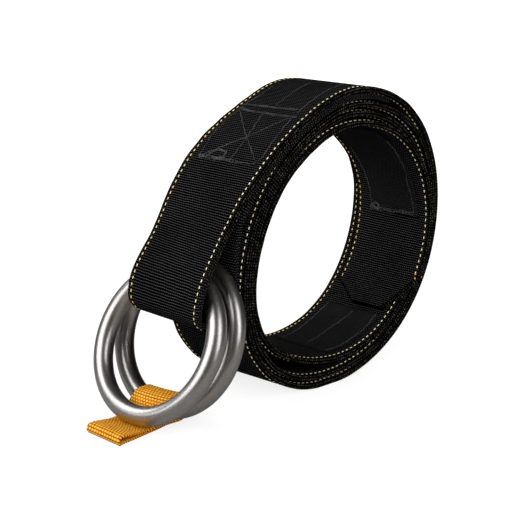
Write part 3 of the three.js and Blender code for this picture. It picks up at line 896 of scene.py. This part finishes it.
def inner_patch(name, patch):
    """A patch on the first turn's inner face: a thin cross-section carried along the turn. Also gives its
    length."""
    angles = angle_steps(patch["from"], patch["to"], TURN_ANGLE_STEP / DRESSED_STEPS)
    middle = np.linspace(patch["start_y"], patch["end_y"], len(angles))
    columns = thin_section(PATCH_FACE_COLUMNS)
    across = columns[:, 0] * patch["width"] + columns[:, 1] - patch["width"] / 2
    turned, places = np.broadcast_arrays(angles[:, None], middle[:, None] + across)
    depth = STRAP_THICKNESS / 2 + GAP + PATCH_THICKNESS / 2
    grid = about_axis(radius_under(turned, places, depth), turned, places)
    middle_column = len(columns) // 4
    path = grid[:, middle_column]
    normals = path_normals(path)
    grid += normals[:, None] * (columns[:, 2] * PATCH_THICKNESS / 2)[None, :, None]
    along = arc_lengths(path)
    around = section_lengths(columns, patch["width"], PATCH_THICKNESS / 2)
    return band_mesh(name, grid, along, around), along[-1]


def steel_ring(name, ring):
    """A torus: centre + (R + r cos b)(cos a across + sin a up) + r sin b out."""
    up, across, out = ring_axes(ring)
    a = np.linspace(0, 2 * np.pi, RING_STEPS, endpoint=False)[:, None, None]
    b = np.linspace(0, 2 * np.pi, WIRE_SIDES, endpoint=False)[None, :, None]
    radial = np.cos(a) * across + np.sin(a) * up
    in_plane = np.array(ring["centre"]) + (RING_RADIUS + WIRE_RADIUS * np.cos(b)) * radial
    grid = in_plane + WIRE_RADIUS * np.sin(b) * out
    along = np.linspace(0, 2 * np.pi * RING_RADIUS, RING_STEPS + 1)
    around = np.linspace(0, 2 * np.pi * WIRE_RADIUS, WIRE_SIDES + 1)
    return band_mesh(name, grid, along, around, closed=True)


def lower_limb(ring, across_y):
    """X and Z of the middle of a ring's lower limb at a Y, and how much higher its top stands because it
    slopes."""
    up, across, _ = ring_axes(ring)
    centre = np.array(ring["centre"])
    share = (across_y - centre[1]) / (RING_RADIUS * np.hypot(across[1], up[1]))
    turn = np.arcsin(share) + np.arctan2(up[1], -across[1])
    aside, below = RING_RADIUS * np.sin(turn), RING_RADIUS * np.cos(turn)
    x = centre[0] - aside * across[0] - below * up[0]
    z = centre[2] - aside * across[2] - below * up[2]
    inner_drop = np.sqrt((RING_RADIUS - WIRE_RADIUS) ** 2 - aside**2)
    return x, z, below - inner_drop - WIRE_RADIUS


def tab_outline(across):
    """Closed outline of the tab's middle at one place across its width: along the floor from the fold, round
    the back ring's lower limb, down under the front ring's and back to the fold. Its crest is straight from
    one edge of the tab to the other."""
    floor_z = TAB_THICKNESS / 2
    reach = WIRE_RADIUS + TAB_CLEARANCE + TAB_THICKNESS / 2
    under_z = floor_z + TAB_THICKNESS + GAP
    fold_radius = (TAB_FOLD_HEIGHT - TAB_THICKNESS) / 2
    fold_x = TAB_FOLD_END + fold_radius
    fold_top = floor_z + 2 * fold_radius
    low, under_back, crest, under_front, high = TAB_SLIDES.values()
    tab_edges = (-TAB_WIDTH / 2, TAB_WIDTH / 2)
    edge_z = [sum(lower_limb(BACK_RING, crest + edge)[1:]) for edge in tab_edges]
    arch_z = np.interp(across, tab_edges, edge_z)
    back_x = lower_limb(BACK_RING, crest + across)[0]
    under_x = lower_limb(BACK_RING, under_back + across)[0]
    front_x = lower_limb(FRONT_RING, under_front + across)[0]
    top_z = arch_z + reach

    def arc(x, z, radius, angles):
        turned = np.radians(angles)
        return x + radius * np.cos(turned), z + radius * np.sin(turned)

    fall, rise = np.array(TAB_FALL), np.array(TAB_RISE)
    run_x = fold_x + (under_x - TAB_RUN_STOP - fold_x) * TAB_RUN_SHARES
    fall_x = back_x + (front_x - back_x) * fall[:, 0]
    fall_z = under_z + (top_z - under_z) * fall[:, 1]
    rise_z = under_z + (fold_top - under_z) * rise[:, 1]
    turn = (under_back + crest) / 2
    stretches = (
        (run_x, np.full(len(run_x), floor_z), low, under_back),
        (*arc(back_x, floor_z + reach, reach, TAB_FOOT_ANGLES), under_back, turn),
        (*arc(back_x, arch_z, reach, TAB_ARCH_ANGLES), turn, crest),
        (fall_x, fall_z, crest, under_front),
        (fold_x + rise[:, 0], rise_z, under_front, high),
        (*arc(fold_x, floor_z + fold_radius, fold_radius, TAB_FOLD_ANGLES), high, low),
    )
    points = []
    for x, z, start, end in stretches:
        slide = start + (end - start) * np.arange(1, len(x) + 1) / len(x)
        points.append(np.stack([x, slide + across, z], axis=1))
    return np.vstack(points)


def brick_weave(along, across, row_pitch, yarn_pitch):
    """Height from 0 to 1 of short yarns that lie across the tab, in rows that are each half a yarn aside of
    the last: a low power of 0.5 + 0.5 cos along the tab, times one of the same across it."""
    odd_row = np.round(along / row_pitch) % 2
    rounded = 0.5 + 0.5 * np.cos(2 * np.pi * along / row_pitch)
    yarn = 0.5 + 0.5 * np.cos(2 * np.pi * (across / yarn_pitch + 0.5 * odd_row))
    return rounded**TAB_ROW_POWER * yarn**TAB_YARN_POWER


def tab_slices():
    """Middle lines of the tab at equal places across its width, and the normals along them: rows along the
    tab, places across it, and X, Y, Z."""
    offsets = np.linspace(-TAB_WIDTH / 2, TAB_WIDTH / 2, TAB_SLICES)
    shares = np.arange(TAB_ROWS) / TAB_ROWS
    lines = [smooth_curve(tab_outline(offset), shares, closed=True) for offset in offsets]
    middle = np.stack(lines, axis=1)
    middle[..., 2] = np.maximum(middle[..., 2], TAB_THICKNESS / 2)
    normals = np.stack([path_normals(middle[:, k], closed=True) for k in range(TAB_SLICES)], axis=1)
    return middle, normals


def between_slices(values, shares):
    """Straight-line reading of the slices' values at shares of the tab's width."""
    step = np.clip(shares, 0, 1) * (TAB_SLICES - 1)
    low = np.minimum(np.floor(step).astype(int), TAB_SLICES - 2)
    weight = (step - low)[None, :, None]
    return values[:, low] * (1 - weight) + values[:, low + 1] * weight


def pull_tab():
    """The tab as a closed band: a thin cross-section carried along the slices, with the yarns raised on its
    faces. Also gives its length."""
    middle_lines, line_normals = tab_slices()
    columns = thin_section(TAB_FACE_COLUMNS)
    place = columns[:, 0] * TAB_WIDTH + columns[:, 1]
    middle = between_slices(middle_lines, place / TAB_WIDTH)
    normal = unit(between_slices(line_normals, place / TAB_WIDTH))
    centre_line = middle_lines[:, TAB_SLICES // 2]
    along = arc_lengths(np.vstack([centre_line, centre_line[:1]]))
    row_pitch = along[-1] / (2 * round(along[-1] / TAB_ROW_PITCH / 2))
    height = brick_weave(along[:-1, None], place[None, :], row_pitch, TAB_YARN_PITCH)
    face = np.clip((np.abs(columns[:, 2]) - 0.5) * 2, 0, 1)
    sunk = (1 - height) * TAB_WEAVE_DEPTH * face
    offset = columns[:, 2] * TAB_THICKNESS / 2 - np.sign(columns[:, 2]) * sunk
    grid = middle + normal * offset[..., None]
    around = section_lengths(columns, TAB_WIDTH, TAB_THICKNESS / 2)
    rim = TAB_RIM_YARN["middle"] + TAB_RIM_YARN["swing"] * np.cos(2 * np.pi * along[:-1, None] / row_pitch)
    # The yarn mark also places the tab's painted shade and painted highlights
    marks = {"yarn": height * face + rim * (1 - face)}
    return band_mesh("pull_tab_webbing", grid, along, around, closed=True, marks=marks), along[-1]


def tip_knot():
    """Two thick stitches over the near edge of the strap's tip."""
    degrees, across, lean = np.array(TIP_KNOT).T
    angles = np.radians(degrees)
    radius = turn_radius(TIP_NEAR_CUT["angle"])
    heights = AXIS_HEIGHT + radius * np.sin(angles)
    centres = np.stack([radius * np.cos(angles), across, heights], axis=1)
    along = unit(np.stack([np.cos(angles), lean, np.sin(angles)], axis=1))
    up = square_to(np.array([0.0, -1.0, 0.0]), along)
    return stitching("tip_knot", [stitch_bodies(centres, along, up, TIP_STITCH)])


def feed(tree, socket, value):
    """Links a node's input to another socket, or sets it to a value."""
    if isinstance(value, bpy.types.NodeSocket):
        tree.links.new(value, socket)
    else:
        socket.default_value = value


def add_node(tree, kind, inputs=None, **settings):
    """A node with its settings, and its inputs linked or set."""
    made = tree.nodes.new(kind)
    for key, value in settings.items():
        setattr(made, key, value)
    for key, value in (inputs or {}).items():
        feed(tree, made.inputs[key], value)
    return made


def calc(tree, operation, *values):
    """Output of a Math node."""
    return add_node(tree, "ShaderNodeMath", dict(enumerate(values)), operation=operation).outputs[0]


def blend(tree, share, first, second):
    """Colour between two colours."""
    mixed = add_node(tree, "ShaderNodeMix", {0: share, 6: first, 7: second}, data_type="RGBA")
    return mixed.outputs[2]


def noise(tree, place, scale, detail):
    """Soft noise around 0.5, with finer steps the higher its detail."""
    made = add_node(tree, "ShaderNodeTexNoise", {"Vector": place, "Scale": scale, "Detail": detail})
    return made.outputs[0]


def stretched(tree, value, low, high, least=0.0, most=1.0):
    """A value's range from low to high, stretched to run from least to most and held within them."""
    made = add_node(tree, "ShaderNodeMapRange", {0: value, 1: low, 2: high, 3: least, 4: most})
    return made.outputs[0]


def wave(tree, place):
    """0.5 + 0.5 cos(2 pi place)."""
    turned = calc(tree, "MULTIPLY", place, 2 * np.pi)
    return calc(tree, "MULTIPLY_ADD", calc(tree, "COSINE", turned), 0.5, 0.5)


def cloth_map(tree):
    """A piece's UV map: millimetres along it and round it."""
    return add_node(tree, "ShaderNodeUVMap", uv_map="cloth").outputs[0]


def object_place(tree):
    """Object coordinates, in metres."""
    return add_node(tree, "ShaderNodeTexCoord").outputs["Object"]


def point_mark(tree, name):
    """A value that the mesh's points carry."""
    return add_node(tree, "ShaderNodeAttribute", attribute_name=name).outputs["Fac"]


def shader_group(name, inputs, outputs):
    """A node group with named sockets: its tree, what it is given and what it puts out."""
    tree = bpy.data.node_groups.new(name, "ShaderNodeTree")
    for socket, kind in inputs:
        tree.interface.new_socket(socket, in_out="INPUT", socket_type=kind)
    for socket, kind in outputs:
        tree.interface.new_socket(socket, in_out="OUTPUT", socket_type=kind)
    given = tree.nodes.new("NodeGroupInput")
    result = tree.nodes.new("NodeGroupOutput")
    return tree, given.outputs, result.inputs


def use_group(tree, group, **inputs):
    """A group's outputs in a material, with each input linked or set by its name."""
    made = tree.nodes.new("ShaderNodeGroup")
    made.node_tree = group
    for key, value in inputs.items():
        feed(tree, made.inputs[key.replace("_", " ")], value)
    return made.outputs


def ribbed_weave_group():
    """Webbing's face: ribs across the strap, each made of small yarns side by side, which lie half a yarn
    aside from one rib to the next."""
    tree, given, result = shader_group(
        "ribbed_weave",
        [
            ("Cloth", VECTOR),
            ("Rib Pitch", FLOAT),
            ("Yarn Pitch", FLOAT),
            ("Yarn Depth", FLOAT),
            ("Slant", FLOAT),
        ],
        [("Height", FLOAT)],
    )
    parts = add_node(tree, "ShaderNodeSeparateXYZ", {0: given["Cloth"]}).outputs
    drift = noise(tree, given["Cloth"], RIB_DRIFT["scale"], detail=1.0)
    along = calc(tree, "MULTIPLY_ADD", drift, RIB_DRIFT["size"], parts[0])
    along = calc(tree, "MULTIPLY_ADD", parts[1], given["Slant"], along)
    rib_place = calc(tree, "DIVIDE", along, given["Rib Pitch"])
    rib_number = calc(tree, "FLOOR", calc(tree, "ADD", rib_place, 0.5))
    aside = calc(tree, "MULTIPLY", rib_number, 0.5)
    yarn = wave(tree, calc(tree, "ADD", calc(tree, "DIVIDE", parts[1], given["Yarn Pitch"]), aside))
    kept = calc(tree, "SUBTRACT", 1.0, given["Yarn Depth"])
    yarn_height = calc(tree, "MULTIPLY_ADD", yarn, given["Yarn Depth"], kept)
    rounded = calc(tree, "POWER", wave(tree, rib_place), RIB_POWER)
    tree.links.new(calc(tree, "MULTIPLY", rounded, yarn_height), result["Height"])
    return tree


def selvage_group():
    """Webbing's rim: in each ply a row of slanted picots where the weft turns back, made fainter in patches
    by a noise. Its Picot output places painted highlights on the picot tops, with painted shade between them.
    The row's strength is exp(-((distance from the groove - row place) / row width)^2)."""
    tree, given, result = shader_group(
        "selvage_picots",
        [
            ("Cloth", VECTOR),
            ("Pitch", FLOAT),
            ("Half Round", FLOAT),
            ("Row Place", FLOAT),
            ("Row Width", FLOAT),
        ],
        [("Picot", FLOAT), ("Height", FLOAT)],
    )
    parts = add_node(tree, "ShaderNodeSeparateXYZ", {0: given["Cloth"]}).outputs
    rim = calc(tree, "ROUND", calc(tree, "DIVIDE", parts[1], given["Half Round"]))
    off_groove = calc(tree, "SUBTRACT", parts[1], calc(tree, "MULTIPLY", rim, given["Half Round"]))
    ply = calc(tree, "SIGN", off_groove)
    depth = calc(tree, "ABSOLUTE", off_groove)
    off_row = calc(tree, "DIVIDE", calc(tree, "SUBTRACT", depth, given["Row Place"]), given["Row Width"])
    row = calc(tree, "EXPONENT", calc(tree, "MULTIPLY", calc(tree, "MULTIPLY", off_row, off_row), -1.0))
    slant = calc(tree, "MULTIPLY", off_groove, PICOT_SLANT)
    place = calc(tree, "ADD", calc(tree, "DIVIDE", parts[0], given["Pitch"]), slant)
    place = calc(tree, "MULTIPLY_ADD", ply, PICOT_PLY_SHIFT, place)
    uneven = noise(tree, given["Cloth"], PICOT_DRIFT["scale"], detail=1.0)
    place = calc(tree, "MULTIPLY_ADD", uneven, PICOT_DRIFT["size"], place)
    patch_noise = noise(tree, given["Cloth"], PICOT_PATCHES["scale"], detail=2.0)
    shown = stretched(tree, patch_noise, PICOT_PATCHES["patchy"], PICOT_PATCHES["whole"], least=PICOT_PATCHES["left"])
    picot = calc(tree, "MULTIPLY", calc(tree, "MULTIPLY", wave(tree, place), row), shown)
    threads = wave(tree, calc(tree, "MULTIPLY_ADD", place, 2.0, 0.5))
    tree.links.new(picot, result["Picot"])
    tree.links.new(calc(tree, "MULTIPLY_ADD", threads, PICOT_THREAD_HEIGHT, picot), result["Height"])
    return tree


def fibre_group():
    """Slow and fine change of tone over cloth, from 0 to 1, and the fuzz of its fibres as a height."""
    tree, given, result = shader_group(
        "fibre_variation",
        [("Object", VECTOR), ("Cloud Scale", FLOAT), ("Fibre Scale", FLOAT)],
        [("Tone", FLOAT), ("Fuzz", FLOAT)],
    )
    cloud = noise(tree, given["Object"], given["Cloud Scale"], detail=3.0)
    fibre = noise(tree, given["Object"], given["Fibre Scale"], detail=2.0)
    tone = calc(tree, "MULTIPLY_ADD", fibre, 0.5, calc(tree, "MULTIPLY", cloud, 0.5))
    tree.links.new(tone, result["Tone"])
    tree.links.new(fibre, result["Fuzz"])
    return tree


def new_material(name, roughness, metallic=0.0, specular=0.5):
    """A material, its tree and its Principled shader."""
    material = bpy.data.materials.new(name)
    material.use_nodes = True
    tree = material.node_tree
    shader = tree.nodes["Principled BSDF"]
    shader.inputs["Roughness"].default_value = roughness
    shader.inputs["Metallic"].default_value = metallic
    shader.inputs["Specular IOR Level"].default_value = specular
    return material, tree, shader


def set_bump(tree, shader, height, depth):
    """Relief of a depth in millimetres under the shader's normal."""
    bump = add_node(tree, "ShaderNodeBump", {"Height": height, "Distance": depth * MM})
    tree.links.new(bump.outputs[0], shader.inputs["Normal"])


def strap_material(groups):
    """Near-black ribbed webbing with painted highlights on its rib tops and painted shade between them, and
    painted highlights on the picots along its rims, which fade to faint in painted shade past the coil.
    """
    material, tree, shader = new_material("strap_webbing", roughness=0.8, specular=0.0)
    cloth = cloth_map(tree)
    face = use_group(tree, groups["weave"], Cloth=cloth, **STRAP_WEAVE)
    half_round = lengths_round_strap()[-1] / 2
    rim = use_group(tree, groups["selvage"], Cloth=cloth, Half_Round=half_round, **PICOTS)
    fibre = use_group(tree, groups["fibre"], Object=object_place(tree), **STRAP_FIBRE)
    on_rim = point_mark(tree, "rim")
    rib_highlight_share = calc(tree, "POWER", face["Height"], STRAP_HIGHLIGHT_POWER)
    rib_highlight_and_shade = blend(tree, calc(tree, "MULTIPLY", rib_highlight_share, fibre["Tone"]), STRAP_BLACK_AND_GROOVE_SHADE, STRAP_RIB_HIGHLIGHT)
    # Painted highlights on the picot tops, painted shade between them
    picot_highlight_share = calc(tree, "POWER", rim["Picot"], PICOT_HIGHLIGHT_POWER)
    rim_highlight_and_shade = blend(tree, calc(tree, "MULTIPLY", picot_highlight_share, fibre["Tone"]), STRAP_BLACK_AND_GROOVE_SHADE, PICOT_HIGHLIGHT)
    tree.links.new(blend(tree, on_rim, rib_highlight_and_shade, rim_highlight_and_shade), shader.inputs["Base Color"])
    woven = add_node(tree, "ShaderNodeMix", {0: on_rim, 2: face["Height"], 3: rim["Height"]}).outputs[0]
    height = calc(tree, "MULTIPLY_ADD", fibre["Fuzz"], STRAP_RELIEF["fuzz"], woven)
    set_bump(tree, shader, height, STRAP_RELIEF["depth"])
    return material


def patch_material(name, groups, slant):
    """Dark patch webbing with a fine crossed weave, with painted highlights on its yarn tops and painted
    shade between them.
    """
    material, tree, shader = new_material(name, roughness=0.9, specular=0.03)
    weave = use_group(tree, groups["weave"], Cloth=cloth_map(tree), Slant=slant, **PATCH_WEAVE)
    fibre = use_group(tree, groups["fibre"], Object=object_place(tree), **PATCH_FIBRE)
    # Painted highlights on the yarn tops, painted shade between them
    highlight_share = calc(tree, "POWER", weave["Height"], PATCH_HIGHLIGHT_POWER)
    light = calc(tree, "MULTIPLY", highlight_share, fibre["Tone"])
    tree.links.new(blend(tree, light, STRAP_BLACK_AND_GROOVE_SHADE, PATCH_YARN_HIGHLIGHT), shader.inputs["Base Color"])
    height = calc(tree, "MULTIPLY_ADD", fibre["Fuzz"], PATCH_RELIEF["fuzz"], weave["Height"])
    set_bump(tree, shader, height, PATCH_RELIEF["depth"])
    return material


def thread_material(name, groups, light, deep):
    """Sewing thread whose tone drifts between two colours."""
    material, tree, shader = new_material(name, roughness=0.6, specular=0.3)
    fibre = use_group(tree, groups["fibre"], Object=object_place(tree), **THREAD_FIBRE)
    tone = stretched(tree, fibre["Tone"], *THREAD_TONES)
    tree.links.new(blend(tree, tone, deep, light), shader.inputs["Base Color"])
    set_bump(tree, shader, fibre["Fuzz"], THREAD_RELIEF)
    return material


def tab_material(groups):
    """Orange webbing with painted shade between the yarns and painted highlights on their tops."""
    material, tree, shader = new_material("tab_webbing", roughness=0.7, specular=0.2)
    fibre = use_group(tree, groups["fibre"], Object=object_place(tree), **TAB_FIBRE)
    drift = calc(tree, "SUBTRACT", fibre["Tone"], 0.5)
    tone = calc(tree, "MULTIPLY_ADD", drift, TAB_FIBRE_SHARE, point_mark(tree, "yarn"))
    # Painted shade between the yarns, then painted highlights on their tops
    body = blend(tree, stretched(tree, tone, *TAB_GAP_SHADE_TONES), TAB_GAP_SHADE, TAB_ORANGE)
    highlight_share = stretched(tree, tone, *TAB_HIGHLIGHT_TONES)
    tree.links.new(blend(tree, highlight_share, body, TAB_YARN_HIGHLIGHT), shader.inputs["Base Color"])
    set_bump(tree, shader, fibre["Fuzz"], TAB_RELIEF)
    return material


def steel_material():
    """Satin steel with fine dull specks, whose roughness follows a faint brushed grain along the wire."""
    material, tree, shader = new_material("ring_steel", roughness=STEEL_ROUGHNESS, metallic=1.0)
    where = object_place(tree)
    brushed = add_node(tree, "ShaderNodeMapping", {"Vector": cloth_map(tree), "Scale": GRAIN_STRETCH})
    grain = noise(tree, brushed.outputs[0], scale=1.0, detail=3.0)
    cloud = noise(tree, where, STEEL_CLOUD_SCALE, detail=1.0)
    grained = calc(tree, "MULTIPLY_ADD", grain, GRAIN_ROUGHNESS, STEEL_ROUGHNESS)
    roughness = calc(tree, "MULTIPLY_ADD", cloud, CLOUD_ROUGHNESS, grained)
    tree.links.new(roughness, shader.inputs["Roughness"])
    specks = stretched(tree, noise(tree, where, SPECK_SCALE, detail=1.0), *SPECK_TONES)
    tree.links.new(blend(tree, specks, STEEL_SPECK, STEEL), shader.inputs["Base Color"])
    return material


def finish_piece(piece, material):
    """Gives a piece its material and lets it ride on the belt's one body."""
    piece.data.materials.append(material)
    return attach(piece, "root")


def direction(turn, rise):
    """Unit vector (sin t cos e, -cos t cos e, sin e) from the belt to a place at an angle t round it, counted
    from -Y towards +X, and an angle e above the floor."""
    azimuth, elevation = np.radians(turn), np.radians(rise)
    flat = np.cos(elevation)
    return Vector((np.sin(azimuth) * flat, -np.cos(azimuth) * flat, np.sin(elevation)))


def make_camera():
    """A camera with the photograph's view, at a distance along its line of sight from the target."""
    back = direction(CAMERA_AZIMUTH, CAMERA_ELEVATION)
    data = bpy.data.cameras.new("view_camera")
    data.sensor_width = SENSOR_WIDTH
    data.lens = FOCAL_PIXELS / IMAGE_SIDE * SENSOR_WIDTH
    data.clip_start, data.clip_end = CLIP_RANGE
    camera = new_object("view_camera", data)
    camera.location = (Vector(CAMERA_TARGET) + back * CAMERA_DISTANCE) * MM
    camera.rotation_euler = back.to_track_quat("Z", "Y").to_euler()
    bpy.context.scene.camera = camera


def soft_light(name, turn, rise, size, power, mirrored):
    """A soft light of a width and height, turned to the belt. Its place is an angle to the right of the
    camera and one above the floor. Steel doesn't mirror it if 'mirrored' is false."""
    back = direction(CAMERA_AZIMUTH + turn, rise)
    data = bpy.data.lights.new(name, "AREA")
    data.shape = "RECTANGLE"
    data.size, data.size_y = size
    data.energy = power
    lamp = new_object(name, data)
    lamp.location = Vector(LIGHT_AIM) + LIGHT_DISTANCE * back
    lamp.rotation_euler = back.to_track_quat("Z", "Y").to_euler()
    lamp.visible_glossy = mirrored


def eye_and_rest(tree, rest, eye):
    """One shader for what the camera sees itself, and another for light and reflections."""
    direct = add_node(tree, "ShaderNodeLightPath").outputs["Is Camera Ray"]
    return add_node(tree, "ShaderNodeMixShader", {0: direct, 1: rest, 2: eye}).outputs[0]


def pale_floor():
    """A wide floor that looks white, with faint shadows, and is a darker grey in the steel's reflections."""
    half = FLOOR_SIDE / 2
    corners = [(-half, -half, 0), (half, -half, 0), (half, half, 0), (-half, half, 0)]
    mesh = bpy.data.meshes.new("floor")
    mesh.from_pydata(corners, [], [(0, 1, 2, 3)])
    floor = new_object("floor", mesh)
    material = bpy.data.materials.new("floor_white")
    material.use_nodes = True
    tree = material.node_tree
    tree.nodes.remove(tree.nodes["Principled BSDF"])
    radius = add_node(tree, "ShaderNodeVectorMath", {0: object_place(tree)}, operation="LENGTH")
    strength = stretched(
        tree,
        radius.outputs["Value"],
        FLOOR_GLOW["near_radius"],
        FLOOR_GLOW["far_radius"],
        least=FLOOR_GLOW["near"],
        most=FLOOR_GLOW["far"],
    )
    lit = add_node(tree, "ShaderNodeBsdfDiffuse", {"Color": FLOOR_GREY}).outputs[0]
    glow = add_node(tree, "ShaderNodeEmission", {"Color": WHITE, "Strength": strength}).outputs[0]
    white = add_node(tree, "ShaderNodeAddShader", {0: lit, 1: glow}).outputs[0]
    grey = add_node(tree, "ShaderNodeBsdfDiffuse", {"Color": FLOOR_IN_STEEL}).outputs[0]
    tree.links.new(eye_and_rest(tree, grey, white), tree.nodes["Material Output"].inputs["Surface"])
    floor.data.materials.append(material)


def studio():
    """White all round to the eye, a dim room in reflections, three soft windows, and fills for the cloth
    from the front and from behind."""
    world = bpy.data.worlds.new("studio")
    bpy.context.scene.world = world
    world.use_nodes = True
    tree = world.node_tree
    dim = tree.nodes["Background"]
    dim.inputs["Color"].default_value = ROOM_IN_STEEL
    white = add_node(tree, "ShaderNodeBackground", {"Color": WHITE, "Strength": 1.0}).outputs[0]
    surface = eye_and_rest(tree, dim.outputs[0], white)
    tree.links.new(surface, tree.nodes["World Output"].inputs["Surface"])
    for name, values in SOFT_LIGHTS.items():
        soft_light(name, *values)
    bpy.context.scene.view_settings.view_transform = "Standard"


def dress_strap(groups):
    """The strap in the place of its solid, with the yellow and amber edge stitches, the box and the knot."""
    edges = strap_middle()
    near_edge, far_edge = edges
    strap, strap_length = belt_strap(edges)
    finish_piece(strap, strap_material(groups))
    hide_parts("belt_strap")
    yellow_thread = thread_material("yellow_thread", groups, STITCH_PALE, STITCH_YELLOW)
    amber_thread = thread_material("amber_thread", groups, STITCH_YELLOW, STITCH_AMBER)
    box_thread = thread_material("box_thread", groups, BOX_THREAD, BOX_THREAD_DARK)
    orange_thread = thread_material("orange_thread", groups, KNOT_ORANGE, KNOT_ORANGE)
    near_stitches = edge_stitching("near_edge_stitching", near_edge, far_edge, TIP_NEAR_ROW)
    far_stitches = edge_stitching("far_edge_stitching", far_edge, near_edge, TIP_FAR_ROW)
    finish_piece(near_stitches, yellow_thread)
    finish_piece(far_stitches, amber_thread)
    box_stitches = finish_piece(box_stitching(), box_thread)
    knot = finish_piece(tip_knot(), orange_thread)
    return strap


def dress_patches(groups):
    """The two patches in the place of their solids, and the thread that holds them."""
    patch_thread = thread_material("patch_thread", groups, PATCH_THREAD, PATCH_THREAD_DARK)
    finish_piece(patch_stitching(), patch_thread)
    for patch_name, patch in (("upper_patch", UPPER_PATCH), ("lower_patch", LOWER_PATCH)):
        dressed, length = inner_patch(patch_name + "_webbing", patch)
        finish_piece(dressed, patch_material(patch_name + "_webbing", groups, patch["slant"]))
        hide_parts(patch_name)


def dress_rings():
    """The two rings in the place of their solids."""
    steel = steel_material()
    for ring_name, ring in (("front_ring", FRONT_RING), ("back_ring", BACK_RING)):
        dressed = finish_piece(steel_ring(ring_name + "_steel", ring), steel)
        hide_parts(ring_name)


def dress_tab(groups):
    """The tab in the place of its solid."""
    tab, tab_length = pull_tab()
    finish_piece(tab, tab_material(groups))
    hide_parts("pull_tab")


make_camera()
pale_floor()
studio()

cloth_groups = {"weave": ribbed_weave_group(), "selvage": selvage_group(), "fibre": fibre_group()}
belt = dress_strap(cloth_groups)
dress_patches(cloth_groups)
dress_rings()
dress_tab(cloth_groups)
